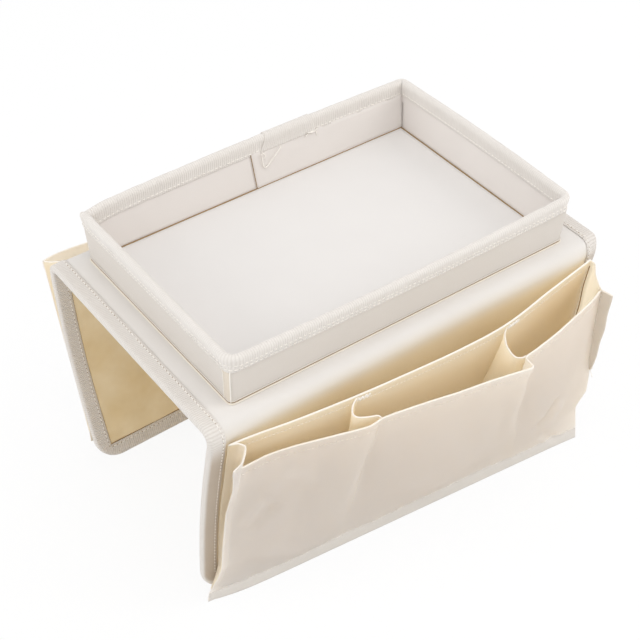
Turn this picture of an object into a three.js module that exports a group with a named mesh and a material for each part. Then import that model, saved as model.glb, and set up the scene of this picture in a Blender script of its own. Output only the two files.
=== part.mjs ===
// Sofa armrest tray: a cloth-covered saddle that hangs over the arm of a sofa, with a stiffened tray sewn on top
// and bellows pockets on both hanging flaps. Millimetres, +Z up, floor at 0. The near side faces -Y. The far side
// is drawn like it and turned half round.
import * as THREE from "three";
import { mergeVertices } from "three/addons/utils/BufferGeometryUtils.js";

// Saddle
const TOP_HEIGHT = 205; // floor to the upper face of the saddle's top
const PANEL_LENGTH = 346; // along the arm
const PANEL_WIDTH = 226; // across the arm, outside the two folds
const FOLD_RADIUS = 9; // outside radius of the cloth where it turns down
const FOLD_DROP = 12; // from the upper face down to the line that a flap swings on
const TOP_BOARD_EDGE = 13; // from the outside of a fold to the stiffener in the top
const OUTER_CLOTH = 1;
const BOARD = 2;
const LINING = 0.8;
const LAYER_GAP = 0.3; // between any two layers that lie on each other

// Binding tape, folded over every raw edge
const TAPE = 0.6; // thickness
const TAPE_LEG = 11.5; // how far it reaches in from the edge it binds

// Flaps
const FLAP_CORNER = 28; // radius of the lower corners
const FLAP_HEAD = 6; // bare cloth between the fold and the stiffened flap
const FLAP_BOARD_INSET = 3; // from the cloth's edge to the stiffener
const FLAP_CELL = 40; // spacing of the mesh along the flap
const CORNER_STEPS = 5;
const FLAP_ROWS = 8;

// Tray, measured at its base between the middles of its walls
const TRAY_END_MARGIN = 28.5; // from the end of the saddle's top to the middle of a wall
const TRAY_SIDE_MARGIN = 18; // from the outside of a fold to the middle of a wall
const TRAY_LENGTH = PANEL_LENGTH - 2 * TRAY_END_MARGIN;
const TRAY_WIDTH = PANEL_WIDTH - 2 * TRAY_SIDE_MARGIN;
const TRAY_HEIGHT = 41;
const TRAY_CORNER = 7;
// The four walls, anticlockwise from the far one: how far the rim of each stands out past its base at its ends, and
// how much more at its middle.
const WALLS = [
  { name: "far", spread: 7.5, bow: 2.5 },
  { name: "left", spread: 0, bow: 0 },
  { name: "near", spread: 2, bow: 2.5 },
  { name: "right", spread: 6, bow: 2 },
];
const WALL_STEPS = 6;
const WALL_BOARD = 1.6;
const WALL_CLOTH = 0.7;
const WALL_GAP = 0.2;
const FLOOR_BOARD = 1.5;
const FLOOR_CLOTH = 0.7;
const FLOOR_GAP = 1.1; // from the wall's cloth to the floor
const RIM_TAPE_LEG = 12;
const PIPING_WIDTH = 1.6;
const PIPING_HEIGHT = 2.6;
const ROUND_STEPS = 4;

// Pockets. A depth is measured outward from the outside of the fold.
const POCKET_CLOTH = 0.8;
const SEAM_GAP = 0.4; // between pocket pieces that are sewn to each other
const POCKET_ROWS = 8;
const BACK_DROP = 13; // from the top's upper face down to the slot pocket's upper edge
const BACK_TOP = TOP_HEIGHT - BACK_DROP;
const BACK_COLUMNS = 14;
const HEM_HEIGHT = 11;
const HEM_THICKNESS = 1.6;
const MOUTH_DROP = 36; // from the top's upper face down to the bellows pockets' upper edge
const MOUTH_HEIGHT = TOP_HEIGHT - MOUTH_DROP;
const FRONT_COLUMNS = 10;
const FRONT_SWELL = 6; // how far a front bulges between its mouth and its foot
const PLEAT_SHIFT = 2.5; // how far a pleat's inner edge lies beside its outer one
const PLEAT_FOOT = 1.5; // what is left of a pleat at the foot
const WEB_COLUMNS = 8;
const FIN_FOOT = 0.45; // where the right gusset's fin runs out, as a share of the front's height
// Each divider: where it is tacked to the back sheet, where it folds, and where it meets the fronts.
const DIVIDERS = [
  { name: "left", tack: -66, fold: -80, join: -51, foot: -61 },
  { name: "right", tack: 66, fold: 49, join: 68, foot: 62 },
];

const halfLength = PANEL_LENGTH / 2;

// The two sides, each from its own left to its own right. Both are sewn alike but hang a little differently.
// clearance: from the floor to the flap's lower edge
// lean: how far that edge hangs inward of a plumb line, at its left and its right end
// belly: how far the flap's middle stands inward of a straight line from its fold to that edge
// backBow: how far the middle of the slot pocket's mouth stands off the flap
// hem: the two ends of the pockets' hem on the floor
// fronts: each bellows front's ends at the mouth and at the foot, the depth of its mouth's ends, how far the mouth
// bows out, and how far its right end is pleated back
// gussetFold: how far the left gusset folds into its pocket
// fin: how far the right gusset stands out past the front that it is sewn to
const SIDES = [
  {
    name: "near",
    turn: 0,
    clearance: 6,
    lean: [35, 24],
    belly: 5,
    backBow: 18,
    hem: [{ x: 2 - halfLength, depth: -28 }, { x: halfLength - 6, depth: 3 }],
    fronts: [
      {
        name: "left",
        mouth: [12.5 - halfLength, -52],
        foot: [2.5 - halfLength, -60],
        depth: [6, 24],
        belly: -5,
        pleat: 0,
      },
      { name: "middle", mouth: [-50, 66], foot: [-59, 62], depth: [25, 47], belly: 0, pleat: 11 },
      {
        name: "right",
        mouth: [69.5, halfLength - 9.5],
        foot: [64.5, halfLength - 6.5],
        depth: [36, 15],
        belly: 2.5,
        pleat: 0,
      },
    ],
    gussetFold: 11,
    fin: 10,
  },
  {
    name: "far",
    turn: Math.PI,
    clearance: 18,
    lean: [24, 33],
    belly: -8,
    backBow: 20,
    hem: [{ x: 2 - halfLength, depth: -8 }, { x: halfLength - 12, depth: 8 }],
    fronts: [
      {
        name: "left",
        mouth: [12.5 - halfLength, -52],
        foot: [2.5 - halfLength, -60],
        depth: [18, 30],
        belly: -3,
        pleat: 0,
      },
      { name: "middle", mouth: [-50, 66], foot: [-59, 62], depth: [31, 46], belly: 0, pleat: 9 },
      {
        name: "right",
        mouth: [69.5, halfLength - 14],
        foot: [64.5, halfLength - 12.5],
        depth: [38, 46],
        belly: 5,
        pleat: 0,
      },
    ],
    gussetFold: 9,
    fin: 0,
  },
];

const MATERIALS = {
  outer: new THREE.MeshStandardMaterial({ color: 0xe9e3dc, roughness: 0.92, metalness: 0 }),
  pocket: new THREE.MeshStandardMaterial({ color: 0xe2dacd, roughness: 0.9, metalness: 0 }),
  lining: new THREE.MeshStandardMaterial({ color: 0xd9c69c, roughness: 0.92, metalness: 0 }),
  tape: new THREE.MeshStandardMaterial({ color: 0xd8cfc4, roughness: 0.95, metalness: 0 }),
  board: new THREE.MeshStandardMaterial({ color: 0xb59a74, roughness: 0.85, metalness: 0 }),
};

// Derived sizes
const foldOutside = PANEL_WIDTH / 2;
const hingeY = foldOutside - OUTER_CLOTH / 2;
const hingeZ = TOP_HEIGHT - FOLD_DROP;
const stackBottom = OUTER_CLOTH + BOARD + LINING + 2 * LAYER_GAP; // depth of a panel's layers below its outer face
const clothEdge = TAPE + LAYER_GAP; // from a bound edge to the cloth inside the tape
const backHalf = halfLength - TAPE_LEG - 2 * SEAM_GAP; // half the length of the slot pocket's sheet
const trayBase = TOP_HEIGHT + WALL_GAP;
const rimTop = TOP_HEIGHT + TRAY_HEIGHT;
const rimFoot = rimTop - RIM_TAPE_LEG;
const floorDrop = POCKET_CLOTH + 2 * SEAM_GAP; // from that seam to the edge of the pockets' floor
const frontFoot = HEM_HEIGHT + SEAM_GAP;
const sewnStep = POCKET_CLOTH + SEAM_GAP; // between the middles of two pocket cloths that are sewn flat together

// Mesh helpers

function solid(positions, indices) {
  let geometry = new THREE.BufferGeometry();
  geometry.setAttribute("position", new THREE.Float32BufferAttribute(positions, 3));
  geometry.setIndex(indices);
  geometry = mergeVertices(geometry, 1e-4);
  if (signedVolume(geometry) < 0) {
    const index = geometry.getIndex().array;
    for (let i = 0; i < index.length; i += 3) {
      [index[i + 1], index[i + 2]] = [index[i + 2], index[i + 1]];
    }
  }
  geometry.computeVertexNormals();
  return geometry;
}

function signedVolume(geometry) {
  const position = geometry.getAttribute("position");
  const index = geometry.getIndex().array;
  const corners = [0, 1, 2].map(() => new THREE.Vector3());
  let sum = 0;
  for (let i = 0; i < index.length; i += 3) {
    corners.forEach((corner, k) => corner.fromBufferAttribute(position, index[i + k]));
    sum += corners[0].dot(corners[1].cross(corners[2]));
  }
  return sum / 6;
}

// Closed solid between two sheets of points, each a list of columns of equal length.
function slab(front, back) {
  const columns = front.length;
  const rows = front[0].length;
  const positions = [];
  [front, back].forEach((sheet) => sheet.forEach((column) => column.forEach((p) => positions.push(p.x, p.y, p.z))));
  const at = (side, i, j) => side * columns * rows + i * rows + j;
  const indices = [];
  const quad = (a, b, c, d) => indices.push(a, b, c, a, c, d);
  for (let i = 0; i + 1 < columns; i += 1) {
    for (let j = 0; j + 1 < rows; j += 1) {
      quad(at(0, i, j), at(0, i + 1, j), at(0, i + 1, j + 1), at(0, i, j + 1));
      quad(at(1, i, j), at(1, i, j + 1), at(1, i + 1, j + 1), at(1, i + 1, j));
    }
    quad(at(0, i, 0), at(1, i, 0), at(1, i + 1, 0), at(0, i + 1, 0));
    quad(at(0, i, rows - 1), at(0, i + 1, rows - 1), at(1, i + 1, rows - 1), at(1, i, rows - 1));
  }
  for (let j = 0; j + 1 < rows; j += 1) {
    quad(at(0, 0, j), at(0, 0, j + 1), at(1, 0, j + 1), at(1, 0, j));
    quad(at(0, columns - 1, j), at(1, columns - 1, j), at(1, columns - 1, j + 1), at(0, columns - 1, j + 1));
  }
  return solid(positions, indices);
}

// Unit normal of a sheet of points at one of them.
function sheetNormal(sheet, i, j) {
  const along = sheet[Math.min(i + 1, sheet.length - 1)][j].clone().sub(sheet[Math.max(i - 1, 0)][j]);
  const up = sheet[i][Math.min(j + 1, sheet[0].length - 1)].clone().sub(sheet[i][Math.max(j - 1, 0)]);
  return along.cross(up).normalize();
}

// Cloth of even thickness about a sheet of points.
function cloth(sheet, thickness) {
  const shifted = (side) =>
    sheet.map((column, i) => column.map((p, j) => p.clone().addScaledVector(sheetNormal(sheet, i, j), side)));
  return slab(shifted(thickness / 2), shifted(-thickness / 2));
}

// Triangles that fill a flat outline, turned the way the outline runs.
function fillOutline(outline) {
  const triangles = THREE.ShapeUtils.triangulateShape(outline, []);
  const area = triangles.reduce((sum, t) => sum + THREE.ShapeUtils.area(t.map((k) => outline[k])), 0);
  const same = area > 0 === THREE.ShapeUtils.area(outline) > 0;
  return same ? triangles : triangles.map(([a, b, c]) => [a, c, b]);
}

// Closed solid from lines of points that run side by side round a section, from one end of a run to the other, or
// round a loop that closes on itself. Each four-sided cell is split along its shorter diagonal, so that layers that
// follow each other are split alike.
function skin(lines, closed) {
  const count = lines.length;
  const length = lines[0].length;
  const positions = [];
  lines.forEach((line) => line.forEach((p) => positions.push(p.x, p.y, p.z)));
  const indices = [];
  for (let k = 0; k < count; k += 1) {
    const turn = (k + 1) % count;
    for (let i = 0; i < (closed ? length : length - 1); i += 1) {
      const next = (i + 1) % length;
      const [a, b, c, d] = [k * length + i, k * length + next, turn * length + next, turn * length + i];
      const split = lines[k][i].distanceTo(lines[turn][next]) - lines[k][next].distanceTo(lines[turn][i]);
      indices.push(...(split > 0 ? [a, b, d, b, c, d] : [a, b, c, a, c, d]));
    }
  }
  const ends = closed ? [] : [0, length - 1];
  ends.forEach((end) => {
    const origin = lines[0][end];
    const across = lines[1][end].clone().sub(origin).normalize();
    const normal = across.clone().cross(lines[2][end].clone().sub(origin)).normalize();
    const up = normal.clone().cross(across);
    const outline = lines.map((line) => {
      const p = line[end].clone().sub(origin);
      return new THREE.Vector2(p.dot(across), p.dot(up));
    });
    fillOutline(outline).forEach(([a, b, c]) => {
      const order = end ? [a, c, b] : [a, b, c];
      indices.push(...order.map((k) => k * length + end));
    });
  });
  return solid(positions, indices);
}

// A section carried along stations, each { origin, across, up }. The section's points are [across, up] pairs.
function sweep(stations, section, closed) {
  const carry = ([a, b]) =>
    stations.map(({ origin, across, up }) => origin.clone().addScaledVector(across, a).addScaledVector(up, b));
  return skin(section.map(carry), closed);
}

// Points round a rectangle with rounded corners.
function roundedOutline(length, width, radius) {
  const points = [];
  for (let corner = 0; corner < 4; corner += 1) {
    const middle = new THREE.Vector2(length / 2 - radius, width / 2 - radius);
    if (corner === 1 || corner === 2) middle.x *= -1;
    if (corner > 1) middle.y *= -1;
    for (let step = 0; step <= ROUND_STEPS; step += 1) {
      const angle = (Math.PI / 2) * (corner + step / ROUND_STEPS);
      points.push(new THREE.Vector2(middle.x + radius * Math.cos(angle), middle.y + radius * Math.sin(angle)));
    }
  }
  return points;
}

function roundedPlate(length, width, radius, thickness) {
  return extrude(new THREE.Shape(roundedOutline(length, width, radius)), thickness);
}

function extrude(shape, depth) {
  const geometry = new THREE.ExtrudeGeometry(shape, { depth, bevelEnabled: false, curveSegments: ROUND_STEPS });
  geometry.deleteAttribute("normal");
  geometry.deleteAttribute("uv");
  return mergeVertices(geometry, 1e-4);
}

const between = (a, b, t) => a + (b - a) * t;

// What point gives at even steps from 0 to 1.
const column = (steps, point) => Array.from({ length: steps + 1 }, (_, i) => point(i / steps));

// U-shaped section of a tape folded over an edge. The edge is at 0 and the layers run inward from it, low to high.
function tapeSection(leg, low, high) {
  return [
    [0, high + TAPE],
    [0, low - TAPE],
    [leg, low - TAPE],
    [leg, low],
    [TAPE, low],
    [TAPE, high],
    [leg, high],
    [leg, high + TAPE],
  ];
}

// The object

const tray = new THREE.Group();
tray.name = "armrest_tray";

function add(group, name, geometry, material) {
  const mesh = new THREE.Mesh(geometry, material);
  mesh.name = name;
  group.add(mesh);
  return mesh;
}

// A group at a pivot, holding geometry that is given in the object's own frame.
function pivotGroup(parent, name, pivot) {
  const group = new THREE.Group();
  group.name = name;
  group.position.copy(pivot).sub(parent.userData.pivot ?? new THREE.Vector3());
  group.userData.pivot = pivot;
  parent.add(group);
  return group;
}

function addAt(group, name, geometry, material) {
  const { x, y, z } = group.userData.pivot;
  return add(group, name, geometry.translate(-x, -y, -z), material);
}

// Saddle top: outer cloth, stiffener, lining and the tape on its two ends

function topClothGeometry() {
  const centre = foldOutside - FOLD_RADIUS;
  const arcZ = TOP_HEIGHT - FOLD_RADIUS;
  const low = hingeZ + OUTER_CLOTH / 2 + SEAM_GAP;
  const inner = FOLD_RADIUS - OUTER_CLOTH;
  const shape = new THREE.Shape();
  shape.moveTo(-foldOutside, low);
  shape.lineTo(-foldOutside, arcZ);
  shape.absarc(-centre, arcZ, FOLD_RADIUS, Math.PI, Math.PI / 2, true);
  shape.lineTo(centre, TOP_HEIGHT);
  shape.absarc(centre, arcZ, FOLD_RADIUS, Math.PI / 2, 0, true);
  shape.lineTo(foldOutside, low);
  shape.lineTo(foldOutside - OUTER_CLOTH, low);
  shape.lineTo(foldOutside - OUTER_CLOTH, arcZ);
  shape.absarc(centre, arcZ, inner, 0, Math.PI / 2, false);
  shape.lineTo(-centre, TOP_HEIGHT - OUTER_CLOTH);
  shape.absarc(-centre, arcZ, inner, Math.PI / 2, Math.PI, false);
  shape.lineTo(-foldOutside + OUTER_CLOTH, low);
  return extrude(shape, PANEL_LENGTH - 2 * clothEdge);
}

// Stations along the saddle's profile at one end, from one fold over the top to the other.
function profileStations(x, inward) {
  const centre = foldOutside - FOLD_RADIUS;
  const arcZ = TOP_HEIGHT - FOLD_RADIUS;
  const across = new THREE.Vector3(inward, 0, 0);
  const stations = [];
  const station = (y, z, angle) =>
    stations.push({
      origin: new THREE.Vector3(x, y, z),
      across,
      up: new THREE.Vector3(0, Math.cos(angle), Math.sin(angle)),
    });
  station(-foldOutside, hingeZ + OUTER_CLOTH / 2 + SEAM_GAP, Math.PI);
  [-1, 1].forEach((side) => {
    for (let step = 0; step <= ROUND_STEPS; step += 1) {
      const quarter = (Math.PI / 2) * (step / ROUND_STEPS);
      const angle = side < 0 ? Math.PI - quarter : Math.PI / 2 - quarter;
      station(side * centre + FOLD_RADIUS * Math.cos(angle), arcZ + FOLD_RADIUS * Math.sin(angle), angle);
    }
  });
  station(foldOutside, hingeZ + OUTER_CLOTH / 2 + SEAM_GAP, 0);
  return stations;
}

function buildTop() {
  const outer = add(tray, "top_outer_cloth", topClothGeometry(), MATERIALS.outer);
  outer.geometry.rotateX(Math.PI / 2).rotateZ(Math.PI / 2);
  outer.position.set(-halfLength + clothEdge, 0, 0);

  const boardLength = PANEL_LENGTH - 2 * (clothEdge + FLAP_BOARD_INSET);
  const boardWidth = PANEL_WIDTH - 2 * TOP_BOARD_EDGE;
  const boardTop = TOP_HEIGHT - OUTER_CLOTH - LAYER_GAP;
  const board = add(tray, "top_board", roundedPlate(boardLength, boardWidth, TRAY_CORNER, BOARD), MATERIALS.board);
  board.position.z = boardTop - BOARD;

  const liningWidth = PANEL_WIDTH - 2 * (FOLD_RADIUS + OUTER_CLOTH);
  const lining = roundedPlate(PANEL_LENGTH - 2 * clothEdge, liningWidth, TAPE_LEG / 2, LINING);
  add(tray, "top_lining", lining, MATERIALS.lining).position.z = boardTop - BOARD - LAYER_GAP - LINING;

  const section = tapeSection(TAPE_LEG, -stackBottom - LAYER_GAP, LAYER_GAP);
  add(tray, "top_tape_left", sweep(profileStations(-halfLength, 1), section, false), MATERIALS.tape);
  add(tray, "top_tape_right", sweep(profileStations(halfLength, -1), section, false), MATERIALS.tape);
}

// Tray: four stiffened walls in one band of cloth outside and one inside, a stiffened floor, a bound rim and piping

// One wall's run between two corners at a height, as stations { origin, across } with across pointing outward.
function wallRun(k, z) {
  const rise = (z - trayBase) / TRAY_HEIGHT;
  const { spread, bow } = WALLS[k];
  const turn = (Math.PI / 2) * (k + 1);
  const across = new THREE.Vector3(Math.cos(turn), Math.sin(turn), 0).round();
  const along = new THREE.Vector3(-across.y, across.x, 0);
  const out = (k % 2 ? TRAY_LENGTH : TRAY_WIDTH) / 2;
  const half = (k % 2 ? TRAY_WIDTH : TRAY_LENGTH) / 2 - TRAY_CORNER;
  const before = WALLS[(k + 3) % 4].spread * rise;
  const after = WALLS[(k + 1) % 4].spread * rise;
  return column(WALL_STEPS, (s) => {
    const stand = out + rise * (spread + bow * Math.sin(Math.PI * s));
    const origin = across.clone().multiplyScalar(stand).setZ(z);
    return { origin: origin.addScaledVector(along, between(-half - before, half + after, s)), across };
  });
}

// Stations from the end of one run round the corner to the start of the next, without those two.
function wallCorner(from, to) {
  const middle = from.origin.clone().addScaledVector(from.across, -TRAY_CORNER);
  return Array.from({ length: ROUND_STEPS - 1 }, (_, step) => {
    const angle = (Math.PI / 2) * ((step + 1) / ROUND_STEPS);
    const across = from.across.clone().multiplyScalar(Math.cos(angle)).addScaledVector(to.across, Math.sin(angle));
    return { origin: middle.clone().addScaledVector(across, TRAY_CORNER), across };
  });
}

function wallLoop(z) {
  const runs = WALLS.map((_, k) => wallRun(k, z));
  return runs.flatMap((run, k) => [...run, ...wallCorner(run[WALL_STEPS], runs[(k + 1) % 4][0])]);
}

// Closed solid that follows the walls. Its section's points are [distance out from the wall's middle, height].
function followWalls(section, stationsAt, closed) {
  const lines = section.map(([out, z]) =>
    stationsAt(z).map(({ origin, across }) => origin.clone().addScaledVector(across, out)),
  );
  return skin(lines, closed);
}

const bandSection = (inside, thickness, top) => [
  [inside, trayBase],
  [inside + thickness, trayBase],
  [inside + thickness, rimFoot],
  [inside + thickness, top],
  [inside, top],
  [inside, rimFoot],
];

// Binding over the rim: two legs joined by a round crown.
function rimSection(halfWall) {
  const inner = halfWall + WALL_GAP;
  const outer = inner + TAPE;
  const crown = (radius, from, to) =>
    column(2 * ROUND_STEPS, (t) => {
      const angle = between(from, to, t);
      return [radius * Math.cos(angle), rimTop - outer + radius * Math.sin(angle)];
    });
  const outside = [[outer, rimFoot], ...crown(outer, 0, Math.PI), [-outer, rimFoot]];
  const inside = [[-inner, rimFoot], ...crown(inner, Math.PI, 0), [inner, rimFoot]];
  return [...outside, ...inside];
}

function buildTray() {
  const clothInside = WALL_BOARD / 2 + WALL_GAP;
  const halfWall = clothInside + WALL_CLOTH;
  const wallTop = rimTop - (halfWall + WALL_GAP + TAPE);

  WALLS.forEach(({ name }, k) => {
    const board = followWalls(bandSection(-WALL_BOARD / 2, WALL_BOARD, wallTop), (z) => wallRun(k, z), false);
    add(tray, `tray_board_${name}`, board, MATERIALS.board);
  });

  const outside = bandSection(clothInside, WALL_CLOTH, wallTop);
  const inside = bandSection(-halfWall, WALL_CLOTH, wallTop);
  add(tray, "tray_wall_outer_cloth", followWalls(outside, wallLoop, true), MATERIALS.outer);
  add(tray, "tray_wall_inner_cloth", followWalls(inside, wallLoop, true), MATERIALS.outer);
  add(tray, "tray_rim_tape", followWalls(rimSection(halfWall), wallLoop, true), MATERIALS.tape);

  const pipingInside = halfWall + WALL_GAP;
  const piping = [[pipingInside, trayBase]];
  for (let step = 0; step <= ROUND_STEPS; step += 1) {
    const angle = (Math.PI / 2) * (step / ROUND_STEPS);
    piping.push([pipingInside + PIPING_WIDTH * Math.cos(angle), trayBase + PIPING_HEIGHT * Math.sin(angle)]);
  }
  add(tray, "tray_base_piping", followWalls(piping, wallLoop, true), MATERIALS.tape);

  const floorInset = halfWall + FLOOR_GAP;
  const floorPlate = (thickness) =>
    roundedPlate(TRAY_LENGTH - 2 * floorInset, TRAY_WIDTH - 2 * floorInset, TRAY_CORNER - floorInset, thickness);
  add(tray, "tray_floor_board", floorPlate(FLOOR_BOARD), MATERIALS.board).position.z = trayBase;
  const floorCloth = add(tray, "tray_floor_cloth", floorPlate(FLOOR_CLOTH), MATERIALS.outer);
  floorCloth.position.z = trayBase + FLOOR_BOARD + WALL_GAP;
}

// Flaps, drawn for the near side

// A point of a flap. depth runs inward from the middle of the outer cloth.
function flapPoint({ clearance, lean, belly }, x, z, depth) {
  const height = hingeZ - clearance;
  const drop = (hingeZ - z) / height;
  const reach = between(...lean, (x + halfLength) / PANEL_LENGTH);
  const inward = reach * drop + belly * Math.sin(Math.PI * drop);
  const slope = (reach + belly * Math.PI * Math.cos(Math.PI * drop)) / height;
  return new THREE.Vector3(x, -hingeY + inward + depth * Math.hypot(1, slope), z);
}

// Columns of a flap layer whose edges lie an inset inside the flap's outline.
function flapColumns(clearance, inset) {
  const half = halfLength - inset;
  const radius = FLAP_CORNER - inset;
  const low = clearance + inset;
  const straight = half - radius;
  const columns = [];
  for (let step = 0; step < CORNER_STEPS; step += 1) {
    const angle = (Math.PI / 2) * (step / CORNER_STEPS);
    columns.push({ x: -straight - radius * Math.cos(angle), low: low + radius * (1 - Math.sin(angle)) });
  }
  const cells = Math.ceil((2 * straight) / FLAP_CELL);
  const middle = column(cells, (s) => ({ x: between(-straight, straight, s), low }));
  const mirrored = columns.map(({ x, low: z }) => ({ x: -x, low: z })).reverse();
  return [...columns, ...middle, ...mirrored];
}

function flapLayer(side, inset, top, from, to) {
  const columns = flapColumns(side.clearance, inset);
  const sheet = (depth) =>
    columns.map(({ x, low }) => column(FLAP_ROWS, (t) => flapPoint(side, x, between(top, low, t), depth)));
  return slab(sheet(from), sheet(to));
}

// Tape round the flap's two sides and lower edge.
function flapTape(side, top, section) {
  const straight = halfLength - FLAP_CORNER;
  const cornerZ = side.clearance + FLAP_CORNER;
  const path = [];
  for (let row = 0; row < FLAP_ROWS; row += 1) {
    path.push([-halfLength, between(top, cornerZ, row / FLAP_ROWS), 1, 0]);
  }
  for (let step = 0; step <= CORNER_STEPS; step += 1) {
    const angle = (Math.PI / 2) * (step / CORNER_STEPS);
    const [c, s] = [Math.cos(angle), Math.sin(angle)];
    path.push([-straight - FLAP_CORNER * c, cornerZ - FLAP_CORNER * s, c, s]);
  }
  const cells = Math.ceil((2 * straight) / FLAP_CELL);
  for (let cell = 1; cell < cells; cell += 1) {
    path.push([between(-straight, straight, cell / cells), side.clearance, 0, 1]);
  }
  const half = path.filter(([x]) => x <= -straight);
  const middle = path.filter(([x]) => x > -straight);
  const right = half.map(([x, z, inX, inZ]) => [-x, z, -inX, inZ]).reverse();
  const stations = [...half, ...middle, ...right];
  const rings = section.map(([inward, depth]) =>
    stations.map(([x, z, inX, inZ]) => flapPoint(side, x + inward * inX, z + inward * inZ, depth)),
  );
  return skin(rings, false);
}

// Pockets, drawn for the near side

const outward = (depth) => -foldOutside - depth;
const flapFace = (side, x, z) => flapPoint(side, x, z, -OUTER_CLOTH / 2 - SEAM_GAP - POCKET_CLOTH / 2).y;

// The slot pocket's lower edge is sewn on where the flap's sides start to round off.
const backSeam = (side) => side.clearance + FLAP_CORNER;

function hemDepth({ hem: [left, right] }, x) {
  return between(left.depth, right.depth, (x - left.x) / (right.x - left.x));
}

// The slot pocket's sheet bows off the flap, most at the middle of its mouth and not at all at its seam.
function backPoint(side, x, z) {
  const seam = backSeam(side);
  const rise = Math.max(Math.sin((Math.PI / 2) * ((z - seam) / (BACK_TOP - seam))), 0);
  const bow = side.backBow * Math.cos((Math.PI / 2) * (x / backHalf)) * rise ** 1.5;
  return new THREE.Vector3(x, flapFace(side, x, z) - bow, z);
}

function backSheet(side) {
  return column(BACK_COLUMNS, (s) =>
    column(POCKET_ROWS, (t) =>
      backPoint(side, between(-backHalf, backHalf, s), between(backSeam(side), BACK_TOP, t)),
    ),
  );
}

function hemGeometry(side) {
  const [left, right] = side.hem;
  const face = (shift) =>
    column(BACK_COLUMNS, (s) => {
      const x = between(left.x, right.x, s);
      const y = outward(hemDepth(side, x)) + shift;
      return [new THREE.Vector3(x, y, 0), new THREE.Vector3(x, y, HEM_HEIGHT)];
    });
  return slab(face(HEM_THICKNESS / 2), face(-HEM_THICKNESS / 2));
}

// The pockets' floor slopes from the flap down to the hem.
function floorSheet(side) {
  const [left, right] = side.hem;
  const half = backHalf - sewnStep;
  return column(BACK_COLUMNS, (s) => {
    const xBack = between(-half, half, s);
    const xHem = between(left.x, right.x, s);
    const back = new THREE.Vector3(xBack, flapFace(side, xBack, backSeam(side)), backSeam(side) - floorDrop);
    const hemY = outward(hemDepth(side, xHem)) + HEM_THICKNESS / 2 + sewnStep;
    const hem = new THREE.Vector3(xHem, hemY, HEM_HEIGHT / 2);
    return column(3, (t) => back.clone().lerp(hem, t));
  });
}

// A bellows front, ruled from its foot on the hem to its mouth and swollen between them.
function frontPoint(side, front, s, t) {
  const xFoot = between(...front.foot, s);
  const mouthY = outward(between(...front.depth, s) + front.belly * Math.sin(Math.PI * s));
  const swell = FRONT_SWELL * Math.sin(Math.PI * t) * Math.sin(Math.PI * s) ** 2;
  return new THREE.Vector3(
    between(xFoot, between(...front.mouth, s), t),
    between(outward(hemDepth(side, xFoot)), mouthY, t) - swell,
    between(frontFoot, MOUTH_HEIGHT, t),
  );
}

function frontSheet(side, front) {
  const sheet = column(FRONT_COLUMNS, (s) => column(POCKET_ROWS, (t) => frontPoint(side, front, s, t)));
  const pleated = (share) =>
    column(POCKET_ROWS, (t) => {
      const back = between(Math.min(PLEAT_FOOT, front.pleat), front.pleat, t) * share;
      return frontPoint(side, front, 1, t).add(new THREE.Vector3(PLEAT_SHIFT * share, back, 0));
    });
  return front.pleat ? [...sheet, pleated(0.5), pleated(1)] : sheet;
}

const inFrontOfBack = (side, x, z) => backPoint(side, x, z).add(new THREE.Vector3(0, -sewnStep, 0));

// A web between the back sheet and the fronts, ruled from a curve over the pockets' floor up to one at the mouth.
// Its inner edge follows the bow of the back sheet.
function webSheet(side, foot, mouth) {
  return column(WEB_COLUMNS, (s) =>
    column(POCKET_ROWS, (t) => {
      const root = foot.getPoint(0).lerp(mouth.getPoint(0), t);
      const follow = inFrontOfBack(side, root.x, root.z).y - root.y;
      const point = foot.getPoint(s).lerp(mouth.getPoint(s), t);
      return point.setY(point.y + follow * (1 - s));
    }),
  );
}

// The foot of a web runs straight from the slot pocket's sheet to a point behind the fronts' foot.
function webFoot(side, xBack, xFront) {
  const front = new THREE.Vector3(xFront, outward(hemDepth(side, xFront)) + sewnStep, frontFoot + POCKET_CLOTH);
  return new THREE.LineCurve3(inFrontOfBack(side, xBack, backSeam(side) + POCKET_CLOTH), front);
}

function dividerSheet(side, { tack, fold, join, foot }, leftFront) {
  const start = inFrontOfBack(side, tack, BACK_TOP - SEAM_GAP);
  const meets = frontPoint(side, leftFront, 1, 1);
  const end = new THREE.Vector3(join, meets.y + leftFront.pleat + 2 * sewnStep, MOUTH_HEIGHT);
  const turn = start.clone().lerp(end, 0.7).setX(fold);
  return webSheet(side, webFoot(side, foot, foot), new THREE.QuadraticBezierCurve3(start, turn, end));
}

function leftGussetSheet(side) {
  const front = side.fronts[0];
  const x = -backHalf + sewnStep;
  const start = inFrontOfBack(side, x, BACK_TOP - SEAM_GAP);
  const end = frontPoint(side, front, 0, 1).add(new THREE.Vector3(0, sewnStep, 0));
  const turn = start.clone().lerp(end, 0.5).setX(x + 2 * side.gussetFold);
  return webSheet(side, webFoot(side, x, front.foot[0]), new THREE.QuadraticBezierCurve3(start, turn, end));
}

// The right gusset passes the end of the last front and may stand out past it as a fin that runs out lower down.
function rightGussetSheet(side) {
  const front = side.fronts[side.fronts.length - 1];
  const x = backHalf - sewnStep;
  const start = inFrontOfBack(side, x, BACK_TOP - SEAM_GAP);
  const end = frontPoint(side, front, 1, 1).add(new THREE.Vector3(sewnStep, 0, 0));
  const sheet = webSheet(side, webFoot(side, x, front.foot[1] + sewnStep), new THREE.LineCurve3(start, end));
  const fin = (share) =>
    column(POCKET_ROWS, (t) => {
      const depth = 1 + side.fin * Math.max((t - FIN_FOOT) / (1 - FIN_FOOT), 0);
      return sheet[WEB_COLUMNS][Math.round(t * POCKET_ROWS)].clone().add(new THREE.Vector3(0, -depth * share, 0));
    });
  return side.fin ? [...sheet, fin(0.5), fin(1)] : sheet;
}

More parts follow.
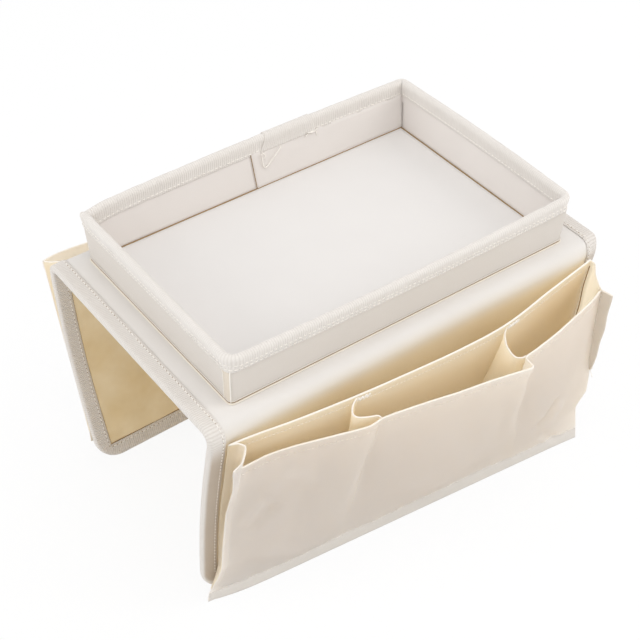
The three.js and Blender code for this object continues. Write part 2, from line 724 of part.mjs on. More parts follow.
function buildSide(side) {
  const flap = pivotGroup(tray, `${side.name}_flap`, new THREE.Vector3(0, -hingeY, hingeZ));
  if (side.turn) {
    flap.position.y *= -1;
    flap.rotation.z = side.turn;
  }
  const put = (group, piece, geometry, material) => addAt(group, `${side.name}_${piece}`, geometry, material);

  const head = hingeZ - FLAP_HEAD;
  const clothHalf = OUTER_CLOTH / 2;
  const boardFrom = clothHalf + LAYER_GAP;
  const liningFrom = boardFrom + BOARD + LAYER_GAP;
  const liningTo = liningFrom + LINING;
  put(flap, "flap_outer_cloth", flapLayer(side, clothEdge, hingeZ, -clothHalf, clothHalf), MATERIALS.outer);
  const board = flapLayer(side, clothEdge + FLAP_BOARD_INSET, head, boardFrom, boardFrom + BOARD);
  put(flap, "flap_board", board, MATERIALS.board);
  put(flap, "flap_lining", flapLayer(side, clothEdge, head, liningFrom, liningTo), MATERIALS.lining);
  const section = tapeSection(TAPE_LEG, -clothHalf - LAYER_GAP, liningTo + LAYER_GAP);
  put(flap, "flap_tape", flapTape(side, head, section), MATERIALS.tape);

  put(flap, "pocket_back", cloth(backSheet(side), POCKET_CLOTH), MATERIALS.pocket);
  put(flap, "pocket_floor", cloth(floorSheet(side), POCKET_CLOTH), MATERIALS.pocket);
  put(flap, "pocket_hem", hemGeometry(side), MATERIALS.pocket);

  put(flap, "gusset_left", cloth(leftGussetSheet(side), POCKET_CLOTH), MATERIALS.pocket);
  put(flap, "gusset_right", cloth(rightGussetSheet(side), POCKET_CLOTH), MATERIALS.pocket);
  DIVIDERS.forEach((divider, i) => {
    const sheet = dividerSheet(side, divider, side.fronts[i]);
    put(flap, `divider_${divider.name}`, cloth(sheet, POCKET_CLOTH), MATERIALS.pocket);
  });

  const swing = new THREE.Vector3(0, outward(hemDepth(side, 0)), frontFoot);
  const pockets = pivotGroup(flap, `${side.name}_pockets`, swing);
  side.fronts.forEach((front) => {
    put(pockets, `pocket_front_${front.name}`, cloth(frontSheet(side, front), POCKET_CLOTH), MATERIALS.pocket);
  });
}

buildTop();
buildTray();
SIDES.forEach(buildSide);

// The origin lies on the floor under the middle of the whole object.
const middle = new THREE.Box3().setFromObject(tray).getCenter(new THREE.Vector3());
tray.position.set(-middle.x, -middle.y, 0);

export default tray;
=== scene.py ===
"""Looks of the sofa armrest tray: sewn cloth, binding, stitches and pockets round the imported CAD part.

Lengths in this script are millimetres in the frame that the pieces are drawn in: +Z up, the near side facing -Y.
The far side is drawn like the near one and turned half round. place() turns them into the row frame's metres.
"""

import math

import bpy
import numpy as np
from mathutils import Matrix, Vector


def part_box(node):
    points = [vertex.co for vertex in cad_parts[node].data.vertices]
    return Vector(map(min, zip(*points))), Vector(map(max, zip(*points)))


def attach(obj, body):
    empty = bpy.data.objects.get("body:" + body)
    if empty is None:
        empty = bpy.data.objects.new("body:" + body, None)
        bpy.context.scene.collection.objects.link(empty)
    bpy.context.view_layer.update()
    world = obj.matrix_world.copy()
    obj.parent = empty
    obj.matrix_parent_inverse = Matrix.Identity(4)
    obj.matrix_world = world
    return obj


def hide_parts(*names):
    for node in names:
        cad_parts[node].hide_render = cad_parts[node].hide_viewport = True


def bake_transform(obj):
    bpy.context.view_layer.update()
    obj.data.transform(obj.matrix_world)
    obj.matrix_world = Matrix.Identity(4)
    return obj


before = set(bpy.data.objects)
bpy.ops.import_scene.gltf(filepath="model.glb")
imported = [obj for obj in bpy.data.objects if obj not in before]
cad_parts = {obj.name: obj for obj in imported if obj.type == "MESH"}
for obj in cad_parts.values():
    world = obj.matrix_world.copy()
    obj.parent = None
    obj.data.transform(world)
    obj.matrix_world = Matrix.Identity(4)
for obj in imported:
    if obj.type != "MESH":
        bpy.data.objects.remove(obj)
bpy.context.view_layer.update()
board_low, board_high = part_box("top_board")
SHIFT_Y = (board_low.y + board_high.y) / 2  # metres from the drawing's middle to the row frame's

# Sizes that the CAD part has too
TOP = 205.0
HALF = 173.0  # half the saddle's length
FOLD_Y = 113.0
FOLD_R = 9.0
HINGE_Z = 193.0
CLOTH = 1.0
LINING = 0.8
LINING_DEPTH = 3.5  # from the outer cloth's middle to the lining's
TAPE = 0.6
TAPE_LEG = 11.5
POCKET = 0.8
BACK_TOP = 192.0
BACK_HALF = 160.7
SEAM_RISE = 28.0  # of the seam under a slot pocket, above the flap's lower edge
MOUTH = 169.0
HEM = 11.4
TRAY_X = 144.5
TRAY_Y = 95.0
TRAY_BASE = 205.2
TRAY_RISE = 41.0
RIM_TOP = 246.0
RIM_FOOT = 234.0
WALLS = [(7.5, 2.5), (0.0, 0.0), (2.0, 2.5), (6.0, 2.0)]  # spread and bow of the far, left, near and right wall

# Sizes of the scene alone
CORNERS = [4.0, 8.5, 7.0, 3.8]  # radius of the rim's far left, near left, near right and far right corner
BASE_CORNER = 1.6
CORNER_STEPS = 5
WALL_OUT = 1.35  # from a tray wall's middle to the middle of its cloth
TRAY_CLOTH = 0.7
TAPE_FOLD = 1.6  # from a binding's outer edge to where its two legs start
TAPE_PITCH = 3.9  # of the binding's stitches and needle holes
HEM_THICK = 1.5
WEB_HEM = 1.2
VALLEY = 1.6  # depth of the fronts' folds along the dividers' seams
SLACK_PLY = 0.9  # from the fronts' middle to the cloth sewn behind it
BACK_PLY = 0.95  # from the slot pocket's middle to the webs' edge sewn on it
FLOOR_EDGE = 2.9  # from a tray wall's middle to the edge of the floor's cloth
LAMP_SIZE = 1.2  # metres

rng = np.random.default_rng(7)

# Facts of each side. clearance is the height of the flap's lower edge, lean its reach outward at the left and right
# end, belly its bow, curl the turn of its right end by the fold, and corner the radius of its lower corners. hem has
# the x of the fronts' foot at its two ends and how far outside the fold line it is. back, mouth and plain are lines
# seen from above: the slot pocket's mouth, and the fronts' mouth with and without its pleat. keys are points of the
# mouth at its ends, seams and pleat, each with the x of its foot. swells is how far each front bulges. The two edges
# are the fronts' ends as (z, x, y), and dividers and gussets have their top edges. creases are (from, to, width,
# depth) in x and z.
NEAR = dict(
    name="near",
    turned=False,
    clearance=6.0,
    lean=(35.0, 24.0),
    belly=5.0,
    hem=((-171.0, -28.0), (167.0, 3.0)),
    curl=4.5,
    corner=28.0,
    back=[(-160.7, -115.5), (-150, -116.5), (-138, -118.2), (-109, -123), (-67, -128), (-31, -131), (19, -134),
          (64, -133), (112, -124), (150, -117), (160.7, -115)],
    mouth=[(-160.5, -118.5), (-148, -118.8), (-135, -119), (-123, -121), (-111, -124), (-88, -131), (-66, -137.6),
           (-58, -138.2), (-51.3, -137.3), (-44, -138.2), (-34, -140), (-14, -144), (8, -149), (31, -153),
           (50, -157.2), (60, -159.6), (64.5, -160.6), (66.6, -160), (67.4, -157.5), (67.8, -153), (68.6, -150),
           (70.5, -148.9), (75, -148.4), (85, -147), (107, -143), (135, -136), (152, -131.2), (163.5, -126.6)],
    keys=[(-160.5, -118.5, -171.0), (-51.3, -137.3, -60.5), (66.6, -160, 100.0), (70.5, -148.9, 102.0),
          (163.5, -126.6, 167.0)],
    plain=[(-160.5, -118.5), (-111, -124), (-66, -136.4), (-14, -144), (31, -152.5), (52, -155.5), (68, -154),
           (90, -148.5), (107, -143.5), (135, -136), (163.5, -126.6)],
    swells=(4.5, 7.0, 5.5),
    left_edge=[(0, -171, -80.5), (3, -171, -80.5), (13, -170.5, -83), (35, -167.5, -92), (50, -165.5, -97),
               (72, -163, -97), (114, -161.5, -104), (147, -160.5, -115), (169, -160.5, -118.5)],
    right_edge=[(0, 167, -116.7), (20, 166, -115.3), (35, 165, -114.6), (43, 165, -117.2), (59, 166, -122.8),
                (79, 166, -123.8), (94, 165.5, -121.8), (113, 165, -123), (137, 164.5, -124.1), (151, 164, -125.3),
                (169, 163.5, -126.6)],
    divider_left=[(-66.3, -128.8, 191), (-70.4, -130, 188), (-72.8, -132, 185), (-73, -134, 182), (-70, -136, 180),
                  (-61.5, -136.4, 176), (-53.4, -136, 172.5), (-51.3, -136.5, 169.6)],
    divider_right=[(66, -132.4, 191), (62.6, -133.2, 188), (59.6, -135.5, 185), (57.5, -140.6, 180),
                   (57.6, -147, 176), (60, -149.4, 173.5), (66, -149.6, 170.4), (69.6, -148.2, 169)],
    gusset_left=[(-160.9, -115.2, 191.5), (-154.7, -117, 191.5), (-150.5, -120, 189), (-152.7, -121.6, 183),
                 (-155.9, -122, 177), (-159.8, -118.3, 169.3)],
    gusset_right=[(161, -114.2, 191.5), (164.5, -117, 188), (161, -122, 182), (161, -126, 176), (162.8, -127.4, 171),
                  (163.4, -126, 169)],
    creases=[((-153, 88), (-134, 120), 6.0, 3.2), ((-146, 78), (-122, 104), 7.0, -3.6), ((-134, 122), (-114, 142),
             7.0, 2.2), ((-114, 142), (-94, 108), 8.0, 2.4), ((-90, 152), (-110, 50), 13.0, -4.2), ((-62, 140),
             (-72, 30), 9.0, 3.6), ((-52, 130), (-50, 60), 7.0, -1.8), ((-140, 50), (-100, 24), 8.0, 2.0),
             ((128, 76), (112, 46), 4.5, -4.2), ((136, 70), (124, 42), 6.0, 3.2), ((126, 30), (148, 8), 4.5, -3.2),
             ((66, 130), (80, 60), 7.0, 2.6), ((88, 120), (96, 60), 8.0, -2.0), ((-20, 60), (30, 26), 12.0, 2.2),
             ((20, 120), (44, 60), 12.0, -2.0), ((150, 120), (156, 70), 8.0, 1.8)],
)
FAR = dict(
    name="far",
    turned=True,
    clearance=18.0,
    lean=(24.0, 33.0),
    belly=-8.0,
    hem=((-171.0, -8.0), (161.0, 8.0)),
    corner=20.0,
    back=[(-160.7, -114.8), (-140, -118.5), (-110, -123.5), (-70, -129), (-30, -132.5), (10, -134), (60, -131),
          (110, -123.5), (140, -118.5), (160.7, -114.8)],
    mouth=[(-160.5, -131), (-148, -132), (-135, -133), (-110, -137), (-88, -140), (-66, -143), (-58, -144),
           (-51.3, -143.8), (-44, -144.2), (-34, -145.6), (-14, -149), (8, -153), (31, -156.5), (50, -158.6),
           (60, -159.8), (64.5, -160.4), (66.6, -159.8), (67.4, -157.5), (67.8, -154), (68.6, -151.8),
           (70.5, -150.9), (75, -151), (85, -152.5), (107, -156.5), (125, -159.5), (142, -161), (152, -160.6),
           (159.2, -159.2)],
    keys=[(-160.5, -131, -171.0), (-51.3, -143.8, -60.5), (66.6, -159.8, 62.0), (70.5, -150.9, 66.0),
          (159.2, -159.2, 161.0)],
    plain=[(-160.5, -131), (-111, -136.5), (-66, -142.5), (-14, -149), (31, -155.5), (52, -157), (68, -156),
           (90, -154), (107, -156.5), (135, -160), (159.2, -159.2)],
    swells=(5.0, 6.0, 5.0),
    curl=0.0,
    divider_left=[(-66.3, -130.2, 191), (-70, -132, 188), (-72, -134.6, 185), (-71.5, -138, 182), (-68, -141, 179),
                  (-60.5, -142.6, 175), (-53.4, -143, 171), (-51.3, -143.1, 169.6)],
    divider_right=[(66, -131, 191), (62.6, -134, 188), (60, -138, 185), (58.5, -143, 180), (59, -148, 176),
                   (61.5, -151, 173), (66.5, -151.8, 170.4), (69.6, -150.2, 169)],
    gusset_left=[(-160.9, -115, 191.5), (-154, -117.5, 190), (-150.5, -121.5, 186), (-153, -126, 180),
                 (-157, -129, 174), (-159.8, -130.6, 169.3)],
    gusset_right=[(161, -114.8, 191.5), (158, -122, 188), (155, -131, 184), (154.5, -141, 178), (156.5, -151, 172),
                  (158.6, -158.4, 169)],
    creases=[((-150, 60), (-118, 90), 5.0, -1.4), ((-120, 50), (-90, 26), 6.0, 1.2), ((10, 70), (-20, 30), 7.0, 1.2),
             ((120, 80), (146, 50), 6.0, -1.4), ((52, 150), (40, 60), 9.0, 1.2), ((-98, 150), (-96, 60), 14.0, -1.6)],
)


# Small mathematics

def xyz(x, y, z):
    return np.stack(np.broadcast_arrays(np.asarray(x, float), y, z), -1).astype(float)


def unit(v):
    return v / np.maximum(np.linalg.norm(v, axis=-1, keepdims=True), 1e-9)


def mix(a, b, t):
    return a + (b - a) * t


def smooth(t):
    t = np.clip(t, 0, 1)
    return t * t * (3 - 2 * t)


def bell(x, width):
    """1 at 0, and next to nothing a few widths away."""
    return np.exp(-((x / width) ** 2))


def place(p, side=NEAR):
    q = np.array(p, float)
    if side["turned"]:
        q[..., :2] *= -1
    q = q * 0.001
    q[..., 1] += SHIFT_Y
    return q


def run_along(line):
    """Distance of each point of a line from its start."""
    return np.concatenate([[0], np.cumsum(np.linalg.norm(np.diff(line, axis=0), axis=1))])


def points_at(spots, run, line):
    """Points of a line at some values of run, which grows along it."""
    return np.stack([np.interp(spots, run, line[:, k]) for k in range(line.shape[1])], -1)


def resample(line, count):
    run = run_along(line)
    return points_at(np.linspace(0, run[-1], count), run, line)


def curve_through(points, count):
    """Evenly spaced points on a smooth line through the given ones."""
    p = np.array(points, float)
    q = np.concatenate([[2 * p[0] - p[1]], p, [2 * p[-1] - p[-2]]])
    line = []
    for a, b, c, d in zip(q, q[1:], q[2:], q[3:]):
        for t in np.linspace(0, 1, 12, endpoint=False):
            line.append(0.5 * (2 * b + (c - a) * t + (2 * a - 5 * b + 4 * c - d) * t * t
                               + (3 * b - a - 3 * c + d) * t ** 3))
    return resample(np.array(line + [p[-1]]), count)


def bent(points, count):
    """Evenly spaced points on straight lines through the given ones, with the bends slightly rounded."""
    p = resample(np.array(points, float), count)
    for _ in range(2):
        p[1:-1] = (p[:-2] + 2 * p[1:-1] + p[2:]) / 4
    return p


def ripple(u, v, size, seed):
    """Soft random waves between about -1 and 1 over a surface, of about that size."""
    r = np.random.default_rng(seed)
    total = 0
    for _ in range(9):
        angle, phase = r.uniform(0, math.pi), r.uniform(0, 2 * math.pi)
        k = 2 * math.pi / (size * r.uniform(0.7, 1.6))
        total = total + np.sin(k * (u * math.cos(angle) + v * math.sin(angle)) + phase)
    return total / 5


def crease(u, v, a, b, width, depth):
    """A soft ridge from a to b on a surface, fading towards its two ends."""
    a, b = np.array(a, float), np.array(b, float)
    d = b - a
    length = np.linalg.norm(d)
    du, dv = u - a[0], v - a[1]
    t = (du * d[0] + dv * d[1]) / length ** 2
    across = (du * d[1] - dv * d[0]) / length
    return depth * smooth((t + 0.15) / 0.4) * smooth((1.15 - t) / 0.4) * bell(across, width)


# Materials

def rgb(code):
    def linear(c):
        return c / 12.92 if c <= 0.04045 else ((c + 0.055) / 1.055) ** 2.4
    return tuple(linear(int(code[i:i + 2], 16) / 255) for i in (0, 2, 4)) + (1.0,)


class Nodes:
    """Adds and joins nodes of one material or world."""

    def __init__(self, owner, shader="Principled BSDF"):
        owner.use_nodes = True
        self.owner, self.tree = owner, owner.node_tree
        self.shader = self.tree.nodes[shader]

    def put(self, kind, settings=(), **inputs):
        """Adds a node. An input is named, or i and its number."""
        node = self.tree.nodes.new(kind)
        for key, value in dict(settings).items():
            setattr(node, key, value)
        for key, value in inputs.items():
            self.join(value, node.inputs[int(key[1:]) if key[0] == "i" and key[1:].isdigit() else key])
        return node

    def join(self, value, socket):
        if hasattr(value, "outputs"):
            value = value.outputs[0]
        if isinstance(value, bpy.types.NodeSocket):
            self.tree.links.new(value, socket)
        else:
            socket.default_value = value

    def math(self, operation, a, b=0.0):
        return self.put("ShaderNodeMath", {"operation": operation}, i0=a, i1=b)

    def times(self, a, b):
        return self.math("MULTIPLY", a, b)

    def sum(self, a, part_a, b, part_b):
        return self.math("ADD", self.times(a, part_a), self.times(b, part_b))

    def step(self, value, first, last):
        """0 up to first, 1 from last on, and smooth between."""
        return self.put("ShaderNodeMapRange", {"interpolation_type": "SMOOTHSTEP"}, i0=value, i1=first, i2=last)

    def weave(self, u, v, pitch_u, pitch_v):
        """Height of a plain weave, 0 to 1."""
        a = self.math("SINE", self.times(u, 2 * math.pi / pitch_u))
        b = self.math("SINE", self.times(v, 2 * math.pi / pitch_v))
        return self.math("ADD", self.times(self.times(a, b), 0.5), 0.5)

    def seen(self):
        """1 for rays that show the background: from the camera, or by way of gloss or glass."""
        rays = self.put("ShaderNodeLightPath").outputs
        either = self.math("MAXIMUM", rays["Is Camera Ray"], rays["Is Glossy Ray"])
        return self.math("MAXIMUM", either, rays["Is Transmission Ray"])

    def finish(self, shader):
        self.join(shader, self.tree.nodes["Material Output"].inputs["Surface"])


def fabric(name, colour, second, weave=0.0006, bump=0.00006, sheen=0.25, ribs=None, mottle=0.35, through=None,
           share=0.0, shade=None, leg=None):
    """Woven cloth. Its threads follow the piece's own cut through the UV map, which is in metres.

    through is the colour of the light that thin cloth lets through, and share how much of it passes.
    shade is (from, to, colour): past that distance down the cut the cloth darkens to that colour, a painted shade.
    leg is (length, colour): a folded tape of that length turns to that colour on the outer leg along the flap, as
    painted shade from the pockets in front of it.
    """
    n = Nodes(bpy.data.materials.new(name))
    uv = n.put("ShaderNodeUVMap", {"uv_map": "cut"})
    parts = n.put("ShaderNodeSeparateXYZ", i0=uv)
    u, v = parts.outputs[0], parts.outputs[1]
    if ribs:
        threads = n.math("ABSOLUTE", n.math("SINE", n.times(u, math.pi / ribs)))
        height = n.sum(threads, 0.8, n.weave(u, v, weave, weave), 0.2)
    else:
        height = n.weave(u, v, weave, weave * 0.9)
    slubs = n.put("ShaderNodeTexNoise", Vector=uv, Scale=1400.0, Detail=2.0)
    height = n.sum(height, 0.8, slubs, 0.2)
    clouds = n.put("ShaderNodeTexNoise", Vector=uv, Scale=26.0, Detail=3.0, Roughness=0.6)
    tone = n.sum(clouds, mottle, height, 0.55 - mottle / 2)

    def mixed(factor, a, b, **settings):
        node = n.put("ShaderNodeMix", {"data_type": "RGBA", **settings}, i0=factor, i6=a, i7=rgb(b))
        return node.outputs[2]

    tinted = mixed(n.math("SUBTRACT", 1.0, tone), rgb(colour), second)
    # Painted shade: the cloth darkens to a warm tan past the first distance down its cut.
    if shade:
        first, last, tan = shade
        tinted = mixed(n.step(n.math("ABSOLUTE", v), first, last), tinted, tan, blend_type="MULTIPLY")
    # Painted shade on the tape's outer leg along the flap.
    if leg:
        length, tan = leg
        from_start = n.math("ABSOLUTE", u)
        from_end = n.math("MINIMUM", from_start, n.math("SUBTRACT", length, from_start))
        outside = n.step(n.math("ABSOLUTE", v), 0.0155, 0.0185)
        tinted = mixed(n.times(n.step(from_end, 0.112, 0.140), outside), tinted, tan, blend_type="MULTIPLY")
    n.join(tinted, n.shader.inputs["Base Color"])
    n.join(n.put("ShaderNodeBump", Height=height, Distance=bump, Strength=1.0), n.shader.inputs["Normal"])
    n.join(n.math("ADD", n.times(slubs, 0.1), 0.85), n.shader.inputs["Roughness"])
    n.shader.inputs["Sheen Weight"].default_value = sheen
    n.shader.inputs["Sheen Roughness"].default_value = 0.5
    n.shader.inputs["Specular IOR Level"].default_value = 0.25
    if through:
        passing = n.put("ShaderNodeBsdfTranslucent", Color=rgb(through))
        n.finish(n.put("ShaderNodeMixShader", i0=share, i1=n.shader, i2=passing))
    return n.owner


GLOW = "fff9ec"
# The outer cloth's shade ramp paints the warm shade of the slot behind the slot pocket onto the flap, from the fold
# downward.
OUTER = fabric("outer_cloth", "ebe8e4", "ded9d4", 0.0011, 0.00016, shade=(0.106, 0.134, "fbeed2"))
# The tray walls' outside and inside are one cloth in two copies: the outside copy is darker, painted shade, and the
# inside copy lighter, painted light.
TRAY_WALL_SHADED = fabric("tray_wall_cloth_shaded", "dfd9d2", "d3cbc2", 0.0009, 0.00014)
TRAY_INSIDE_LIT = fabric("tray_inside_cloth_lit", "e9e4e0", "dfd8d2", 0.0009, 0.00010)
TRAY_FLOOR = fabric("tray_floor_cloth", "e6e3e0", "dedad7", 0.0009, 0.0001)
POCKET_OUT = fabric("pocket_cloth", "fdfbf9", "f6f2f0", mottle=0.3, through="fdfbfa", share=0.54)
POCKET_IN = fabric("pocket_cloth_inside", "fffcf5", "fcf7ea", mottle=0.3, through=GLOW, share=0.8)
HEM_CLOTH = fabric("hem_cloth", "e3ddd6", "dad4cc", mottle=0.3)
EDGE = fabric("rolled_edge", "fbf6ee", "f3ebdf", bump=0.00005)
SLOT_CLOTH = fabric("slot_cloth", "fef5e2", "faedd2", 0.0007, mottle=0.4, through=GLOW, share=0.8)
# A darker copy of the cream cloth for the fin and the tray's corner fold: painted shade.
SEAM_SHADED_CLOTH = fabric("seam_allowance_shaded", "e4dacc", "d5c9b8", bump=0.00008, mottle=0.5)
LINING_CLOTH = fabric("lining_cloth", "f8e9ca", "dfc48e", 0.0007, sheen=0.4, mottle=1.4)
# The binding's leg colour is painted shade on its outer leg along both flaps.
TAPE_CLOTH = fabric("binding_tape", "f3efeb", "d3cbc2", 0.0005, 0.0005, ribs=0.0018, mottle=0.2, leg=(0.925, "ddd2c4"))
RIM_CLOTH = fabric("rim_tape", "f3efeb", "d8d1c9", 0.0005, 0.0004, ribs=0.0018, mottle=0.25)
PIPING = fabric("piping_cloth", "fbf5ea", "f0e6d6", 0.0005, 0.0001)
THREAD = fabric("sewing_thread", "fdfaf5", "f5efe6", 0.0004, sheen=0.1)
# Dark tan that stands in for the shadow in gaps, seam lines and needle holes: painted shadow.
GAP_SHADOW = fabric("painted_gap_shadow", "ac9069", "947854", bump=0.00004, sheen=0.0)
BOARD = fabric("pressed_board", "b59a74", "9c8260", 0.0015, 0.0001, sheen=0.0, mottle=0.8)
for node_name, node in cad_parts.items():
    if "board" in node_name:
        node.data.materials.clear()
        node.data.materials.append(BOARD)
        cut = node.data.uv_layers.new(name="cut")
        for loop in node.data.loops:
            cut.data[loop.index].uv = node.data.vertices[loop.vertex_index].co.xy


# Mesh building

def in_scene(name, data):
    made = bpy.data.objects.new(name, data)
    bpy.context.scene.collection.objects.link(made)
    return made


def mesh_object(name, points, faces, uvs, materials, slots, side=NEAR):
    """faces is a list of corner lists, uvs one pair a vertex, in metres."""
    mesh = bpy.data.meshes.new(name)
    mesh.from_pydata(place(points, side).tolist(), [], [list(map(int, f)) for f in faces])
    for material in materials:
        mesh.materials.append(material)
    mesh.polygons.foreach_set("material_index", np.array(slots, np.int32))
    mesh.polygons.foreach_set("use_smooth", np.ones(len(faces), bool))
    corner = np.zeros(len(mesh.loops), np.int32)
    mesh.loops.foreach_get("vertex_index", corner)
    layer = mesh.uv_layers.new(name="cut")
    cut = np.asarray(uvs, np.float32)[corner]
    face = np.repeat(np.arange(len(faces)), [len(f) for f in faces])
    reach = np.zeros(len(faces), np.float32)
    np.maximum.at(reach, face, cut[:, 0])
    cut[reach[face] - cut[:, 0] > 0.3, 0] += cut[:, 0].max()  # where a closed sheet meets its own start
    layer.data.foreach_set("uv", cut.ravel())
    mesh.update()
    return in_scene(name, mesh)


def sew(piece, slot, moves, *nodes):
    """A piece's finish, which is not used, the body that it rides on or the function run on it, which bakes its
    transform, and the nodes that it replaces.
    """
    if callable(moves):
        moves(piece)
    else:
        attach(piece, moves)
    if nodes:
        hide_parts(*nodes)
    return piece


def sheet_normals(p, closed=False):
    along = np.roll(p, -1, 0) - np.roll(p, 1, 0) if closed else np.gradient(p, axis=0)
    return unit(np.cross(along, np.gradient(p, axis=1)))


def cut_map(p):
    """Where each point of a sheet lies on the flat cloth, in metres."""
    n, m = p.shape[:2]
    du = np.linalg.norm(np.diff(p, axis=0), axis=-1).mean(1)
    dv = np.linalg.norm(np.diff(p, axis=1), axis=-1)
    u = np.concatenate([[0], np.cumsum(du)])
    v = np.concatenate([np.zeros((n, 1)), np.cumsum(dv, axis=1)], axis=1)
    return np.stack([np.broadcast_to(u[:, None], (n, m)), v], -1) * 0.001


def declare(p, closed=False):
    """Measures a sheet's grid of points laid flat: its lengths along and across its rows, and its area. Nothing is
    done with them.
    """
    q = np.concatenate([p, p[:1]]) if closed else p
    along = np.linalg.norm(np.diff(q, axis=0), axis=-1).sum(0)
    across = np.linalg.norm(np.diff(q, axis=1), axis=-1).sum(1)
    d1, d2 = q[1:, 1:] - q[:-1, :-1], q[:-1, 1:] - q[1:, :-1]
    area = np.linalg.norm(np.cross(d1, d2), axis=-1).sum() / 2


def cloth(name, p, thick, materials, side=NEAR, closed=False, butt=None, rolled="all", patch=None):
    """A sheet of cloth with two faces and rounded edges about a grid of points.

    materials are the front's, the back's and the edge's, or one for all. butt flags the points of an edge that meets
    another sheet: it stays flat there. rolled="top" gives the edge's material to the last row only. patch flags the
    quads whose front has the fourth material.
    """
    n, m = p.shape[:2]
    normal = sheet_normals(p, closed)
    half = np.broadcast_to(np.asarray(thick, float), (n, m))[..., None] / 2
    front, back = p + normal * half, p - normal * half
    uv = cut_map(p)
    if side["turned"]:
        uv = [uv[..., 0].max(), 0] - uv
    index = np.arange(n * m).reshape(n, m)
    step = np.arange(n if closed else n - 1)
    a, b = index[step][:, :-1], index[(step + 1) % n][:, :-1]
    c, d = index[(step + 1) % n][:, 1:], index[step][:, 1:]
    quads = np.stack([a, b, c, d], -1).reshape(-1, 4)
    total = n * m
    points = [front.reshape(-1, 3), back.reshape(-1, 3)]
    uvs = [uv.reshape(-1, 2)] * 2
    faces = [quads, quads[:, ::-1] + total]
    slots = [np.zeros(len(quads)) if patch is None else np.where(patch.ravel(), 3, 0), np.ones(len(quads))]
    if closed:
        loops = [[(i, 0) for i in range(n)], [(i, m - 1) for i in range(n - 1, -1, -1)]]
    else:
        loops = [[(i, 0) for i in range(n)] + [(n - 1, j) for j in range(1, m)]
                 + [(i, m - 1) for i in range(n - 2, -1, -1)] + [(0, j) for j in range(m - 2, 0, -1)]]
    start = 2 * total
    for loop in loops:
        i, j = np.array(loop).T
        rim = p[i, j]
        out = unit(np.cross(unit(np.roll(rim, -1, 0) - np.roll(rim, 1, 0)), normal[i, j]))
        points.append(rim + out * half[i, j])
        uvs.append(uv[i, j])
        here = i * m + j
        after = np.roll(here, -1)
        middle = start + np.arange(len(i))
        middle_after = np.roll(middle, -1)
        faces.append(np.stack([here, middle, middle_after, after], -1))
        faces.append(np.stack([middle, here + total, after + total, middle_after], -1))
        top = (j == m - 1) & (np.roll(j, -1) == m - 1)
        slots += [np.where(top | (rolled == "all"), 2, 0)] * 2
        start += len(i)
    if not isinstance(materials, list):
        materials = [materials] * 3
    made = mesh_object(name, np.concatenate(points), np.concatenate(faces), np.concatenate(uvs), materials,
                       np.concatenate(slots), side)
    if butt is not None:
        flags = np.zeros(len(made.data.vertices), bool)
        flags[:2 * total] = np.tile(butt.ravel(), 2)
        ends = np.zeros(2 * len(made.data.edges), np.int32)
        made.data.edges.foreach_get("vertices", ends)
        made.data.edges.foreach_set("use_edge_sharp", flags[ends.reshape(-1, 2)].all(1))
    return made


def tubes(name, lines, radii, moves, side=NEAR, material=THREAD, sides=6):
    """Closed tubes along lines of points, in one mesh. radii has one value for all, a line or a point of each line."""
    points, faces, uvs, start = [], [], [], 0
    for line, radius in zip(lines, [radii] * len(lines) if np.isscalar(radii) else radii):
        line = np.asarray(line, float)
        k = len(line)
        run = unit(np.gradient(line, axis=0))
        ref = np.array([0.0, 0.0, 1.0]) if abs(run[:, 2]).mean() < 0.8 else np.array([1.0, 0.0, 0.0])
        a = unit(np.cross(run, ref))
        b = np.cross(run, a)
        angle = np.arange(sides) * 2 * math.pi / sides
        ring = (a[:, None] * np.cos(angle)[None, :, None] + b[:, None] * np.sin(angle)[None, :, None])
        radius = np.broadcast_to(np.asarray(radius, float), k)
        points.append((line[:, None] + ring * radius[:, None, None]).reshape(-1, 3))
        uvs.append(np.stack([np.repeat(run_along(line), sides), np.tile(angle * 0.3, k)], -1) * 0.001)
        for i in range(k - 1):
            for j in range(sides):
                q, r = start + i * sides + j, start + i * sides + (j + 1) % sides
                faces.append([q, q + sides, r + sides, r])
        faces.append([start + j for j in range(sides)])
        faces.append([start + (k - 1) * sides + j for j in range(sides - 1, -1, -1)])
        start += k * sides
    made = mesh_object(name, np.concatenate(points), faces, np.concatenate(uvs), [material], [0] * len(faces), side)
    return sew(made, "tape", moves)


def stitches(name, rows, moves, side=NEAR, radius=0.28, pitch=3.3, length=2.3):
    """Rows of stitches, each with its path on a surface and the surface's normal along it."""
    lift, jitter = 0.22, 0.12
    lines, radii = [], []
    for path, up in rows:
        run = run_along(path)
        up = np.broadcast_to(np.asarray(up, float), path.shape)
        for at in np.arange(pitch / 2, run[-1] - pitch / 2, pitch):
            centre = at + rng.uniform(-jitter, jitter)
            spots = np.linspace(centre - length / 2, centre + length / 2, 5)
            arch = np.array([-0.7, 0.55, 1.0, 0.55, -0.7])[:, None] * lift
            lines.append(points_at(spots, run, path) + unit(points_at(spots, run, up)) * arch)
            radii.append(np.array([0.55, 1.0, 1.05, 1.0, 0.55]) * radius)
    return tubes(name, lines, radii, moves, side)


def holes(name, rows, moves, side):
    """The needle holes between the stitches of some rows, as small dark tubes of painted shadow."""
    lines = []
    for path, up in rows:
        run = run_along(path)
        for at in np.arange(TAPE_PITCH, run[-1] - TAPE_PITCH, TAPE_PITCH):
            spots = [at - 0.35, at + 0.35]
            lines.append(points_at(spots, run, path) - unit(points_at(spots, run, up)) * 0.12)
    return tubes(name, lines, 0.3, moves, side, GAP_SHADOW, sides=5)


def shadow_line(name, lines, moves, side=NEAR, radius=0.28):
    """Thin dark lines of painted shadow where two cloths meet."""
    return tubes(name, lines, radius, moves, side, GAP_SHADOW)


# The saddle's panels

def flap_reach(side, x):
    return mix(side["lean"][0], side["lean"][1], (x + HALF) / (2 * HALF))


